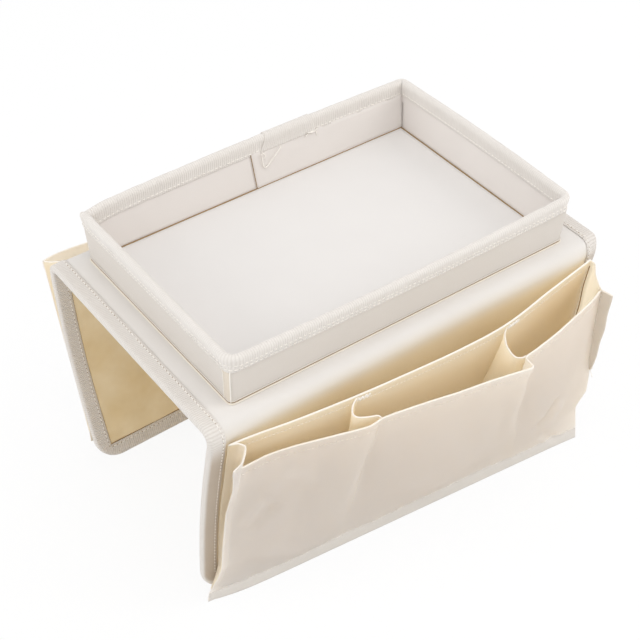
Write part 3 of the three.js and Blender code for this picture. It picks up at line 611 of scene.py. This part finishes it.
def raw_profile(side, x, q):
    """Middle of the outer cloth: q runs from the middle of the top, over the fold and down the flap."""
    flat = FOLD_Y - FOLD_R
    radius = FOLD_R - CLOTH / 2
    fold_end = flat + radius * math.pi / 2
    turn = np.clip((q - flat) / radius, 0, math.pi / 2)
    y = -np.minimum(q, flat) - radius * np.sin(turn)
    z = TOP - FOLD_R + radius * np.cos(turn) - np.clip(q - fold_end, 0, PROFILE_END - fold_end)
    height = HINGE_Z - side["clearance"]
    drop = np.maximum(q - PROFILE_END, 0) / height
    y = y + flap_reach(side, x) * drop + side["belly"] * np.sin(math.pi * np.clip(drop, 0, 1.05))
    return xyz(x, y, z - drop * height)


PROFILE_END = FOLD_Y - FOLD_R + (FOLD_R - CLOTH / 2) * math.pi / 2 + (TOP - FOLD_R) - HINGE_Z  # q at the hinge line


def panel(side, x, q, depth=0.0):
    """A point of the saddle's panel. depth is measured inward from the middle of the outer cloth."""
    x, q = np.broadcast_arrays(np.asarray(x, float), np.asarray(q, float))

    def middle(x, q):
        spread = ((-5, 1), (-3, 2), (-1, 3), (1, 3), (3, 2), (5, 1))
        return sum(raw_profile(side, x, q + shift) * (weight / 12) for shift, weight in spread)

    normal = unit(np.cross(middle(x + 0.5, q) - middle(x - 0.5, q), middle(x, q + 0.5) - middle(x, q - 0.5)))
    p = middle(x, q) + normal * np.asarray(depth)[..., None]
    p[..., 1] += side["curl"] * smooth((x - 146) / 27) * smooth((q - 101) / 16) * smooth((175 - q) / 30)
    return p


def q_at(side, z):
    return PROFILE_END + (HINGE_Z - z)


def q_end(side):
    return q_at(side, side["clearance"])


def panel_grid(side, inset, q_from, step=3.0):
    """Columns of (x, q) over the panel from q_from to its rounded lower edge, an inset inside its outline."""
    half, radius = HALF - inset, side["corner"] - inset
    straight = half - radius
    angle = np.linspace(0, math.pi / 2, 13)[:-1]
    left = -straight - radius * np.cos(angle)
    low = q_end(side) - inset - radius * (1 - np.sin(angle))
    xs = np.concatenate([left, np.linspace(-straight, straight, int(2 * straight / step) + 1), -left[::-1]])
    ends = np.concatenate([low, np.full(len(xs) - 2 * len(left), q_end(side) - inset), low[::-1]])
    t = np.linspace(0, 1, int((q_end(side) - q_from) / step) + 1)
    q = q_from + (ends[:, None] - q_from) * t[None]
    return np.broadcast_to(xs[:, None], q.shape), q


def tape_path(side, step=2.5):
    """Outline of one side's panel from the middle of the top's left end round the flap to its right end.

    Each point has x, q, the direction inward and the width of the tape's inner leg, which is mitred at the corners.
    """
    corner = side["corner"]
    straight = HALF - corner
    end = q_end(side)
    left = [(-HALF, q, 1.0, 0.0, TAPE_LEG) for q in np.arange(0, end - corner, step)]
    for a in np.linspace(0, math.pi / 2, 13):
        c, d = math.cos(a), math.sin(a)
        mitred = corner - (corner - TAPE_LEG) / max(c, d)
        left.append((-straight - corner * c, end - corner + corner * d, c, -d, mitred))
    middle = [(x, end, 0.0, -1.0, TAPE_LEG) for x in np.linspace(-straight, straight, int(2 * straight / step))[1:-1]]
    right = [(-x, q, -ix, iq, leg) for x, q, ix, iq, leg in left[::-1]]
    return np.array(left + middle + right)


def tape_section(depth_outer, depth_inner):
    """Middle line of a folded tape: (inward, depth) from the inner face's edge round to the outer one's."""
    legs = np.linspace(TAPE_LEG, TAPE_FOLD, 6)
    middle, half = (depth_outer + depth_inner) / 2, (depth_inner - depth_outer) / 2
    angle = np.linspace(0, math.pi, 9)[1:-1]
    turn = [(TAPE_FOLD - 1.9 * math.sin(a), middle + half * math.cos(a)) for a in angle]
    return np.array([(x, depth_inner) for x in legs] + turn + [(x, depth_outer) for x in legs[::-1]])


def between(first, second, start, end):
    """Gives a function that bakes a piece's transform into its mesh, without bending it. The two bodies, start and end
    are not used.
    """
    return lambda piece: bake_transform(piece)


def over_fold(side):
    """Gives between()'s function for a piece over the fold between the saddle's top and that side's flap, which does
    not bend it.
    """
    start, end = place([[0, -FOLD_Y + 8, TOP - 1], [0, -FOLD_Y - 1, HINGE_Z - 12]], side)
    return between("saddle_top", side["name"] + "_flap", start, end)


def build_panel(side):
    name, bends = side["name"], over_fold(side)
    outside, inside = -CLOTH / 2, LINING_DEPTH + LINING / 2  # depths of the panel's two faces

    def layer(what, materials, thick, p, slot, held, rests_on, butt, row, *nodes):
        piece = cloth(f"{name}_{what}_visual", p, thick, materials, side, butt=butt)
        sew(piece, slot, bends, f"{name}_flap_{nodes[0]}", *(nodes[1:] if side is NEAR else ()))
        declare(p)

    x, q = panel_grid(side, 1.0, 0.0)
    still = smooth(q / 30)
    p = panel(side, x, q, -0.12 + 0.14 * ripple(x, q, 60, 11) * still)
    layer("outer_cloth", [LINING_CLOTH, OUTER, OUTER], CLOTH, p, "outer_cloth", "draped", ["top_board"], q == 0, 0,
          "outer_cloth", "top_outer_cloth")
    wave = 0.35 + (0.45 * ripple(x, q, 70, 12) + 0.3 * ripple(x, q, 26, 14)) * still
    p = panel(side, x, q, LINING_DEPTH + wave)
    layer("lining", LINING_CLOTH, LINING, p, "lining", "stretched", ["top_board"], q == 0, 0, "lining", "top_lining")

    x, q = panel_grid(side, 3.9, PROFILE_END + 6, step=6.0)
    board = cloth(name + "_flap_board_visual", panel(side, x, q, 1.8), 1.8, BOARD, side)
    sew(board, "board", name + "_flap", name + "_flap_board")

    path = tape_path(side)
    px, pq, leg = path[:, 0], path[:, 1], path[:, 4]

    def inset(by):
        """x and q of the outline moved inward."""
        return px + by * path[:, 2], pq + by * path[:, 3]

    section = tape_section(outside - 0.55, inside + 0.95)
    inward = np.tile(section[:, 0], (len(path), 1))
    inward[:, :6] = TAPE_FOLD + (inward[:, :6] - TAPE_FOLD) * (path[:, 4:] - TAPE_FOLD) / (TAPE_LEG - TAPE_FOLD)
    tx, tq = (across.T for across in inset(inward.T))
    depth = section[None, :, 1] + 0.14 * ripple(tx, tq, 14, 13) * smooth(tq / 20)
    layer("binding", TAPE_CLOTH, TAPE, panel(side, tx, tq, depth), "tape", "folded", [name + "_outer_cloth_visual"],
          tq == 0, None, "tape", "top_tape_left", "top_tape_right")

    rows = []
    for depth, out, width in ((outside - 0.85, -1, TAPE_LEG), (inside + 1.25, 1, leg)):
        line = panel(side, *inset(width - 2), depth)
        rows.append((line, unit(panel(side, *inset(width - 2), depth + out) - line)))
    stitches(name + "_binding_stitches", rows, bends, side, radius=0.32, pitch=TAPE_PITCH, length=2.8)
    # Painted shadow: dark tubes in the needle holes and along the binding's inner edge on the lining.
    holes(name + "_binding_hole_shadows", rows, bends, side)
    shadow_line(name + "_binding_gap_shadow", [panel(side, *inset(leg + 0.4), inside + 0.45)[4:-4]], bends, side, 0.32)


for panel_side in (NEAR, FAR):
    build_panel(panel_side)


# The tray

def tray_loop(z, out, step=4.0):
    """Points and outward directions round the tray's walls at a height, a distance out from their middle."""
    rise = (z - TRAY_BASE) / TRAY_RISE
    radii = [mix(BASE_CORNER, top, smooth((z - 230) / 9)) for top in CORNERS]
    points, across, runs = [], [], []
    for k, (spread, bow) in enumerate(WALLS):
        turn = math.pi / 2 * (k + 1)
        n = np.array([round(math.cos(turn)), round(math.sin(turn)), 0.0])
        along = np.array([-n[1], n[0], 0.0])
        reach, half = (TRAY_X, TRAY_Y) if k % 2 else (TRAY_Y, TRAY_X)
        first = -half - WALLS[k - 1][0] * rise + radii[k - 1]
        last = half + WALLS[(k + 1) % 4][0] * rise - radii[k]
        s = np.linspace(0, 1, int(2 * half / step) + 1)
        stand = reach + rise * (spread + bow * np.sin(math.pi * s))
        runs.append((n[None] * stand[:, None] + along[None] * mix(first, last, s)[:, None], n))
    for k, (run, n) in enumerate(runs):
        n2 = runs[(k + 1) % 4][1]
        points.append(run)
        across.append(np.repeat(n[None], len(run), 0))
        middle = run[-1] - n * radii[k]
        for a in np.linspace(0, math.pi / 2, CORNER_STEPS + 2)[1:-1]:
            d = n * math.cos(a) + n2 * math.sin(a)
            points.append((middle + d * radii[k])[None])
            across.append(d[None])
    p, d = np.concatenate(points), np.concatenate(across)
    p = p + d * out
    p[:, 2] = z
    return p, d


def corner_index(k, step=4.0):
    """Number of the last point before the k-th corner in tray_loop()."""
    sides = [int(2 * (TRAY_Y if j % 2 else TRAY_X) / step) + 1 for j in range(k + 1)]
    return sum(sides) + CORNER_STEPS * k - 1


def tray_band(section, **options):
    """Grid of points round the tray for a section of (out, z) pairs."""
    return np.stack([tray_loop(z, out, **options)[0] for out, z in section], 1)


def tray_column(point, out, heights):
    """One point of tray_loop() at some heights."""
    return np.stack([tray_loop(z, out)[0][point] for z in heights])


def settle(p, amount, size, seed):
    """Small unevenness of hand-sewn cloth."""
    n = sheet_normals(p, closed=True)
    run = np.cumsum(np.linalg.norm(np.diff(p[:, 0], axis=0, prepend=p[-1:, 0]), axis=1))
    return p + n * (amount * ripple(run[:, None] + 0 * p[..., 2], p[..., 2], size, seed))[..., None]


def dip(p):
    """The rim sags beside its far left corner."""
    t = (TRAY_Y + 7.5 - p[..., 1]) - (p[..., 0] + TRAY_X + 1.5)
    near_it = bell(np.hypot(p[..., 0] + TRAY_X, p[..., 1] - TRAY_Y), 45)
    q = p.copy()
    q[..., 2] += near_it * mix(-3.2 * bell(t, 18), 0.6 * bell(t, 12), smooth((t + 6) / 9))
    return q


def rim_section(more=0.0):
    """Section of the rim's tape as (out, z) pairs, from the outside's foot over the top to the inside's."""
    outer, puff = 2.15 + more, 3.0 + more
    legs = np.linspace(RIM_FOOT, RIM_TOP - puff, 8)[:-1]
    swell = outer + (puff - outer) * smooth((legs - RIM_FOOT - 2) / 7)
    crown = [(puff * math.cos(a), RIM_TOP - 3.0 + puff * math.sin(a)) for a in np.linspace(0, math.pi, 15)]
    return list(zip(swell, legs)) + crown + list(zip(-swell[::-1], legs[::-1]))


def far_strip(section, xs):
    """Grid of points along the inside of the far wall between two x."""
    rows = []
    for out, z in section:
        p = tray_loop(z, out)[0][:corner_index(0) + 1]
        rows.append(points_at(xs, p[::-1, 0], p[::-1]))
    return np.stack(rows, 1)


def build_tray():
    heights = np.linspace(TRAY_BASE + 0.4, RIM_TOP - 5, 13)
    # Painted shade on the walls' outside and painted light on their inside, by two copies of one cloth.
    for label, out, seed, material in (("outer", WALL_OUT, 21, TRAY_WALL_SHADED), ("inner", -WALL_OUT, 22, TRAY_INSIDE_LIT)):
        p = settle(tray_band([(out, z) for z in heights]), 0.18, 45, seed)
        wall = cloth(f"tray_wall_{label}_visual", p, TRAY_CLOTH, material, closed=True)
        sew(wall, "outer_cloth", "saddle_top", f"tray_wall_{label}_cloth")

    p = dip(settle(tray_band(rim_section(), step=2.5), 0.16, 16, 23))
    rim = cloth("tray_rim_visual", p, TAPE, RIM_CLOTH, closed=True)
    sew(rim, "tape", "saddle_top", "tray_rim_tape")
    declare(p, closed=True)

    rows = []
    for out, height in ((2.55, 1.7), (2.75, 4.9), (-2.5, 2.0)):
        line, across = (np.concatenate([a, a[:1]]) for a in tray_loop(RIM_FOOT + height, out, step=2.5))
        rows.append((dip(line), across * np.sign(out)))
    stitches("tray_rim_stitches", rows, "saddle_top", radius=0.3, pitch=3.8, length=2.7)

    # The piping fold is in the walls' darker copy, painted shade; the piping gap and the floor gap are dark cords of
    # painted shadow.
    for label, out, height, radius, material, nodes in (
            ("tray_piping_visual", 2.4, 0.6, 0.6, PIPING, ["tray_base_piping"]),
            ("tray_piping_fold", 2.0, 2.7, 0.45, TRAY_WALL_SHADED, []),
            ("tray_piping_gap_shadow", 1.9, 1.7, 0.35, GAP_SHADOW, []),
            ("tray_floor_gap_shadow", -2.35, 1.7, 0.45, GAP_SHADOW, [])):
        section = [(out + radius * math.cos(a), TRAY_BASE + height + radius * math.sin(a))
                   for a in np.linspace(-1.5, 4.2, 9)]
        cord = cloth(label, tray_band(section, step=3.0), 0.2, material, closed=True)
        sew(cord, "tape", "saddle_top", *nodes)

    # The seam down the near left corner
    first = corner_index(1)
    zs = np.linspace(TRAY_BASE + 1.5, RIM_FOOT + 0.5, 14)
    fold = np.stack([tray_column(first + k, 1.85, zs) for k in range(-1, 4)])
    # The corner fold's darker cloth is painted shade in the corner.
    band = sew(cloth("tray_corner_fold", fold, 0.4, SEAM_SHADED_CLOTH), "outer_cloth", "saddle_top")
    sides = [tray_column(first + k, 2.1, zs) for k in (-1, 3)]
    tubes("tray_corner_seam", sides, [0.25, 0.42], "saddle_top")

    # The lap in the far wall, the joint in the rim's tape and its loose threads
    heights = np.linspace(TRAY_BASE + 0.8, RIM_FOOT + 1, 9)
    lap = far_strip([(-2.15, z) for z in heights[::-1]], np.linspace(0.6, TRAY_X + 2, 40))
    lap[:, :, 1] -= 0.12 * ripple(lap[..., 0], lap[..., 2], 40, 25)
    # The lap is in the walls' lighter inside copy, painted light.
    over = sew(cloth("tray_wall_lap", lap, TRAY_CLOTH, TRAY_INSIDE_LIT), "outer_cloth", "saddle_top")
    declare(lap)
    columns = []
    for out, z in rim_section(0.6):
        rise = z - RIM_FOOT
        columns.append(far_strip([(out, z)], np.linspace(9.4 + 0.55 * rise, 61.0 - 0.2 * rise, 24))[:, 0])
    slant = np.stack(columns, 1)
    slant += 0.1 * ripple(slant[..., :1], slant[..., 2:], 14, 26)
    joint = sew(cloth("tray_rim_joint", slant, TAPE, RIM_CLOTH), "tape", "saddle_top")
    declare(slant)
    ends = [curve_through([(9, 97.2, 234), (10, 95.6, 221.6), (18.1, 95.8, 226.7), (27.4, 97.4, 233.8)], 26),
            curve_through([(9.4, 97, 235.5), (12, 96.6, 231.8), (10.6, 96.2, 229.6)], 16),
            curve_through([(50.6, 98, 232.6), (56, 98.4, 234.6), (61, 98.8, 233.2), (61.7, 97.6, 229.2)], 22),
            curve_through([(52, 98, 236.2), (58, 98.2, 233.8), (63, 98.6, 235.5)], 18)]
    tubes("tray_loose_threads", ends, 0.42, "saddle_top")
    corner = tray_column(corner_index(3) + 3, -1.9, np.linspace(TRAY_BASE + 2, RIM_TOP - 6, 9))
    # Dark lines of painted shadow at the lap's edge and in the far right corner.
    shadow_line("tray_seam_gaps", [far_strip([(-2.6, z) for z in heights], np.array([0.45]))[0], corner], "saddle_top")

    reach_x, reach_y = TRAY_X - FLOOR_EDGE, TRAY_Y - FLOOR_EDGE
    gx, gy = np.meshgrid(np.linspace(-reach_x, reach_x, 96), np.linspace(-reach_y, reach_y, 64), indexing="ij")
    edge = np.minimum(reach_x - np.abs(gx), reach_y - np.abs(gy))
    gz = TRAY_BASE + 2.05 - 0.4 * np.exp(-edge / 1.5) + 0.12 * ripple(gx, gy, 60, 24)
    floor = cloth("tray_floor_visual", xyz(gx, gy, gz), TRAY_CLOTH, TRAY_FLOOR)
    sew(floor, "outer_cloth", "saddle_top", "tray_floor_cloth")


build_tray()


# The pockets

def hem_y(side, x):
    (x0, d0), (x1, d1) = side["hem"]
    return -FOLD_Y - mix(d0, d1, (x - x0) / (x1 - x0))


def seam_z(side):
    """Height of the seam at the foot of the slot pocket."""
    return side["clearance"] + SEAM_RISE


def back_y(side, x, z):
    """Where the slot pocket's sheet stands: it bows off the flap, most at its mouth and not at all at its seam."""
    face = panel(side, x, q_at(side, z), -1.5)[..., 1]
    at_top = panel(side, x, q_at(side, BACK_TOP) + 0 * z, -1.5)[..., 1]
    top = curve_through(side["back"], 200)
    stand = np.maximum(at_top - np.interp(x, top[:, 0], top[:, 1]), 0)
    up = z - seam_z(side)
    rise = np.sin(math.pi / 2 * np.clip(up / (BACK_TOP - seam_z(side)), 0, 1)) ** 1.5
    soft = 0.5 * ripple(x, z, 70, 31) * smooth(up / 40) * smooth((BACK_TOP - z) / 20)
    return face - stand * rise - np.maximum(soft, -0.2)


def hemmed(p, rows, thick=POCKET, hem=HEM_THICK):
    """Thickness with a turned hem over the last rows."""
    t = np.full(p.shape[:2], thick)
    t[:, -rows:] = hem
    return t


def build_back(side):
    name, flap = side["name"], side["name"] + "_flap"
    low = seam_z(side)
    x = np.linspace(-BACK_HALF, BACK_HALF, 130)[:, None]
    z = np.concatenate([np.linspace(low, BACK_TOP - 8, 50), np.linspace(BACK_TOP - 7, BACK_TOP, 5)])[None]
    x, z = np.broadcast_arrays(x, z)
    p = xyz(x, back_y(side, x, z), z)
    back = cloth(name + "_slot_pocket_visual", p, hemmed(p, 4), [POCKET_IN, SLOT_CLOTH, EDGE], side, rolled="top")
    sew(back, "pocket_cloth", flap, name + "_pocket_back")
    declare(p)

    path = p[3:-3, np.argmin(abs(z[0] - (BACK_TOP - 6.5)))]
    rows = [(path + [0, -0.55, 0], [0, -1, 0])]
    for end in (-1, 1):
        zs = np.linspace(low + 3, BACK_TOP - 4, 60)
        xs = np.full(60, end * (BACK_HALF - 2.5))
        rows.append((xyz(xs, back_y(side, xs, zs) - 0.5, zs), [0, -1, 0]))
    stitches(name + "_slot_pocket_stitches", rows, flap, side, radius=0.2, pitch=3.0)

    lines = []
    for middle in (-61.0, 70.5):
        t = np.linspace(0, 1, 31)
        xs = middle + 10.5 * (t - 0.5)
        zs = BACK_TOP - 2.0 - 3.0 * np.abs((t * 7) % 2 - 1)
        lines.append(xyz(xs, back_y(side, xs, zs) - 1.0, zs))
    tubes(name + "_bartacks", lines, 0.75, flap, side)


def front_grid(side):
    """The sheet that all three bellows fronts are cut in, from the ground to the mouths."""
    nx = 190
    mouth = curve_through(side["mouth"], nx)
    plain = curve_through(side["plain"], 400)
    keys = np.array(side["keys"])
    at = [np.argmin(np.hypot(*(mouth - k[:2]).T)) for k in keys]
    foot_x = np.interp(np.arange(nx), at, keys[:, 2])
    base = np.stack([mouth[:, 0], np.interp(mouth[:, 0], plain[:, 0], plain[:, 1])], -1)
    pleat = mouth - base
    z = np.concatenate([np.linspace(0.5, HEM, 6)[:-1], np.linspace(HEM, MOUTH - 8, 62),
                        np.linspace(MOUTH - 7, MOUTH, 6)])
    t = np.clip((z - HEM) / (MOUTH - HEM), 0, 1)[None]
    x = mix(foot_x[:, None], base[:, None, 0], t) + pleat[:, None, 0] * t ** 2.2
    y = mix(hem_y(side, foot_x)[:, None], base[:, None, 1], t) + pleat[:, None, 1] * t ** 2.2
    part = np.interp(np.arange(nx), [at[0], at[1], (at[2] + at[3]) / 2, at[4]], [0, 1, 2, 3])
    swell = np.interp(part, [0.5, 1.5, 2.5], side["swells"]) * np.sin(math.pi * part) ** 2
    y = y - swell[:, None] * np.sin(math.pi * t ** 0.85)

    run = run_along(mouth)
    for key, from_end, column in (("left_edge", run, 0), ("right_edge", run[-1] - run, -1)):
        if key in side:
            ez, ex, ey = np.array(side[key], float).T
            pull = np.exp(-(from_end / 20) ** 1.5)[:, None]
            x = x + (np.interp(z, ez, ex) - x[column])[None] * pull
            y = y + (np.interp(z, ez, ey) - y[column])[None] * pull
    return xyz(x, y, z), part, at


def dress_front(side, p, part):
    """Folds, creases and the pull of the seams on the fronts' sheet."""
    u, v = p[..., 0], p[..., 2]
    ends = np.minimum(np.arange(len(p)), np.arange(len(p))[::-1])[:, None]
    free = smooth(v / 25) * smooth((MOUTH - v) / 16) * smooth(ends / 14)
    d = 1.9 * ripple(u, v, 80, 41 + side["turned"]) + 0.5 * ripple(u, v, 34, 51 + side["turned"])
    for a, b, width, depth in side["creases"]:
        d = d + crease(u, v, a, b, width, depth)
    for seam in (1, 2):
        d = d - VALLEY * bell((part[:, None] - seam) * 115, 5.0) * smooth((v - 60) / 70)
    d = d * free
    d = d + 0.28 * np.sin(u / 2.1 + 2 * ripple(u, 0 * u, 60, 61)) * bell(MOUTH - 7 - v, 5)
    d = d + 0.3 * np.sin(u / 2.6) * bell(v - HEM - 1, 4) - 0.3 * bell(v - HEM, 1.6)
    if "left_edge" in side:
        d = d - 0.6 * bell(np.abs(u - u[:1]) - 4.5, 1.0)
    normal = unit(sheet_normals(p) * [1, 1, 0.3])
    return p + normal * d[..., None]


def over_hem(side):
    """Gives between()'s function for a piece over the pockets' hem, which does not bend it."""
    return between(side["name"] + "_flap", side["name"] + "_pockets", *place([[0, -100, 3], [0, -100, 22]], side))


def over_web(side, back_edge, front_edge):
    """Fits a line from the flap, at a piece's back edge, to the pockets, at its front edge, and gives between()'s
    function, which does not bend the piece.
    """
    points = np.concatenate([place(back_edge, side), place(front_edge, side)])
    target = np.concatenate([np.full(len(back_edge), -0.1), np.full(len(front_edge), 1.1)])
    g = np.linalg.lstsq(np.column_stack([points, np.ones(len(points))]), target, rcond=None)[0]
    slope = g[:3]
    start = points.mean(0) - slope * (points.mean(0) @ slope + g[3]) / (slope @ slope)
    return between(side["name"] + "_flap", side["name"] + "_pockets", start, start + slope / (slope @ slope))


def build_fronts(side):
    name, bends = side["name"], over_hem(side)
    grid, part, at = front_grid(side)
    p = dress_front(side, grid, part)
    below = (p[:-1, :-1, 2] + p[1:, 1:, 2]) / 2 < HEM
    front = cloth(name + "_pocket_fronts_visual", p, hemmed(p, 5), [POCKET_OUT, POCKET_IN, EDGE, HEM_CLOTH], side,
                  rolled="top", patch=below)
    sew(front, "pocket_cloth", bends, *[f"{name}_pocket_front_{k}" for k in ("left", "middle", "right")],
        name + "_pocket_hem")
    declare(p)

    normal = sheet_normals(p)
    rows = []

    def along(columns, heights, lift=0.45):
        rows.append((p[columns, heights] + normal[columns, heights] * lift, normal[columns, heights]))

    mouth_row = p.shape[1] - 6
    along(slice(3, at[2] - 1), mouth_row)
    along(slice(at[3] + 1, -3), mouth_row)
    along(slice(3, -3), 6)
    for column, low in ((at[1], 60.0), (at[3], 110.0)):
        along(column, slice(np.argmin(abs(p[column, :, 2] - low)), -3))
    if "left_edge" in side:
        along(np.argmin(abs(p[:, 40, 0] - p[0, 40, 0] - 4.5)), slice(8, -3), 0.3)
    stitches(name + "_front_stitches", rows, bends, side, radius=0.2, pitch=3.1, length=2.2)
    return p, at


def build_web(side, label, back_x, front, front_column, foot_height, bulge):
    """A gusset or divider: ruled between the slot pocket's sheet and the fronts, folded as its top edge shows."""
    name = side["name"]
    nw, nt = 34, 60
    w = np.linspace(0, 1, nw)[:, None]
    t = np.linspace(0, 1, nt)
    to_end = (t ** 6)[:, None]  # the last stretch of each edge leads to the top edge's own end
    top = bent(side[label], nw)
    column = front[front_column]
    z_front = mix(foot_height, top[-1, 2], t)
    b = points_at(z_front, column[:, 2], column - sheet_normals(front)[front_column] * SLACK_PLY)
    b[:, 2] = z_front
    b += (top[-1] - b[-1]) * to_end
    z_back = mix(seam_z(side) + 1, top[0, 2], t)
    x_back = np.full(nt, back_x)
    a = xyz(x_back, back_y(side, x_back, z_back) - BACK_PLY, z_back)
    a += (top[0] - a[-1]) * to_end
    fold = top - (top[0] * (1 - w) + top[-1] * w)
    p = a[None] * (1 - w[..., None]) + b[None] * w[..., None] + fold[:, None] * (t ** 1.4)[:, None]
    p[..., 0] += bulge * np.sin(math.pi * w) * np.sin(math.pi * t) ** 1.2 * (1 - t)
    outside = POCKET_OUT if label == "gusset_left" else POCKET_IN
    web = cloth(f"{name}_{label}_visual", p, hemmed(p, 3, hem=WEB_HEM), [POCKET_IN, outside, EDGE], side, rolled="top")
    sew(web, "pocket_cloth", over_web(side, p[0], p[-1]), f"{name}_{label}")
    declare(p)
    # A dark line of painted shadow along the right gusset's seam.
    if label == "gusset_right":
        shadow_line(f"{name}_{label}_gap", [p[1, 20:-2] + [0, -0.7, 0]], name + "_flap", side, 0.4)


def build_pocket_floor(side, front):
    """The cloth under the three pockets, from the flap's seam to the fronts' hem."""
    name = side["name"]
    columns = (np.linspace(0.012, 0.988, 90) * (len(front) - 1)).astype(int)
    row = np.argmin(abs(front[0, :, 2] - HEM))
    inside = front[columns, row] - sheet_normals(front)[columns, row] * SLACK_PLY
    x = np.clip(inside[:, 0], -BACK_HALF, BACK_HALF)
    z = np.full(len(x), seam_z(side) - 1.0)
    back = xyz(x, back_y(side, x, z) - 0.2, z)
    t = np.linspace(0, 1, 14)[None, :, None]
    p = back[:, None] * (1 - t) + inside[:, None] * t
    p[..., 2] -= 5.0 * np.sin(math.pi * t[..., 0]) * (0.8 + 0.2 * ripple(inside[:, :1], p[..., 1], 60, 71))
    floor = cloth(name + "_pocket_floor_visual", p, POCKET, [POCKET_IN, POCKET_OUT, EDGE], side)
    sew(floor, "pocket_cloth", name + "_flap", name + "_pocket_floor")
    declare(p)


def build_fin(front):
    """The seam allowance that stands out where the near right gusset is sewn to the last front, in a darker copy of
    the cloth as painted shade.
    """
    outer = np.array([(165.2, -136.7, 169), (166, -134.3, 150), (166, -132.1, 128), (166, -128.7, 106),
                      (166, -126.8, 92), (165.8, -124.8, 84)])
    zs = np.linspace(84, 169, 40)
    i = points_at(zs, front[-1, :, 2], front[-1])
    o = points_at(zs, outer[::-1, 2], outer[::-1])
    t = np.linspace(0, 1, 8)[:, None, None]
    p = i[None] * (1 - t) + o[None] * t
    p[..., 0] += 0.5 * np.sin(zs / 5)[None] * t[..., 0] + 0.3
    fin = cloth("near_gusset_seam_visual", p, hemmed(p, 1, thick=1.3), [SEAM_SHADED_CLOTH, SEAM_SHADED_CLOTH, EDGE], rolled="top")
    sew(fin, "pocket_cloth", "near_pockets")
    declare(p)
    rows = [(p[1] + [-0.75, 0, 0], [-1, 0, 0]), (p[1] + [0.85, 0, 0], [1, 0, 0])]
    stitches("near_gusset_seam_stitches", rows, "near_pockets", radius=0.22)
    angle = np.linspace(0, 5.6, 22)
    loop = xyz(165.2 + 1.2 * np.sin(angle), -124.8 - 1.9 * np.cos(angle), 86.8 + 2.1 * np.sin(angle * 1.05))
    tail = xyz(np.linspace(165.2, 166.4, 8), np.linspace(-125, -127.2, 8), np.linspace(84.4, 77.5, 8))
    tubes("near_gusset_thread", [loop, tail], [0.38, 0.3], "near_pockets")


def build_pockets(side):
    build_back(side)
    front, at = build_fronts(side)
    for label, back_x, column, foot, bulge in (
            ("divider_left", -64.0, at[1], 4, 0.0), ("divider_right", 64.0, at[3], 4, 0.0),
            ("gusset_left", -160.9, 0, 7 if side is NEAR else 1, 5.0), ("gusset_right", 161.0, -1, 1, -5.0)):
        build_web(side, label, back_x, front, column, HEM + foot, bulge)
    build_pocket_floor(side, front)
    if side is NEAR:
        build_fin(front)


for pocket_side in (NEAR, FAR):
    build_pockets(pocket_side)


# Camera, floor and light

CAMERA_AT = Vector((-0.4905, -0.71294 + SHIFT_Y, 0.8937))
RIGHT = Vector((0.81588, -0.57776, -0.02321)).normalized()
BACKWARD = Vector((-0.42228, -0.62278, 0.65866)).normalized()
UPWARD = BACKWARD.cross(RIGHT).normalized()
LIT = 0.83  # strength of the world's light on the object
WHITE = 1.0
FLOOR_GLOW = 0.9  # share of the floor's look that is plain white, the rest keeps the shadow

camera = in_scene("camera", bpy.data.cameras.new("camera"))
camera.matrix_world = Matrix.Translation(CAMERA_AT) @ Matrix((RIGHT, UPWARD, BACKWARD)).transposed().to_4x4()
camera.data.sensor_width = 36
camera.data.lens = 83.43
bpy.context.scene.camera = camera

floor_mesh = bpy.data.meshes.new("floor")
floor_mesh.from_pydata([(-6, -6, 0), (6, -6, 0), (6, 6, 0), (-6, 6, 0)], [], [(0, 1, 2, 3)])
in_scene("floor", floor_mesh)
n = Nodes(bpy.data.materials.new("floor"))
n.shader.inputs["Base Color"].default_value = (0.93, 0.93, 0.93, 1)
n.shader.inputs["Roughness"].default_value = 0.8
glow = n.put("ShaderNodeEmission", Color=(1, 1, 1, 1), Strength=WHITE)
n.finish(n.put("ShaderNodeMixShader", i0=n.times(n.seen(), FLOOR_GLOW), i1=n.shader, i2=glow))
floor_mesh.materials.append(n.owner)

world = bpy.data.worlds.new("studio")
bpy.context.scene.world = world
n = Nodes(world, "Background")
n.shader.inputs["Color"].default_value = (1, 1, 1, 1)
n.join(n.put("ShaderNodeMix", i0=n.seen(), i2=LIT, i3=WHITE), n.shader.inputs["Strength"])


def area_light(name, location, power, colour=(1, 1, 1)):
    """A soft round lamp that faces the object."""
    lamp = bpy.data.lights.new(name, "AREA")
    lamp.shape, lamp.size, lamp.energy, lamp.color = "DISK", LAMP_SIZE, power, colour
    made = in_scene(name, lamp)
    made.location = location
    made.rotation_mode = "QUATERNION"
    made.rotation_quaternion = (Vector((0, 0, 0.1)) - Vector(location)).to_track_quat("-Z", "Y")


area_light("key", (1.5, -1.1, 1.3), 9.5, (1.0, 0.99, 0.98))
area_light("side", (-1.9, 0.5, 0.9), 10, (0.96, 0.98, 1.0))
area_light("top", (0.0, -0.6, 1.9), 7.5)

bpy.context.scene.view_settings.view_transform = "Standard"
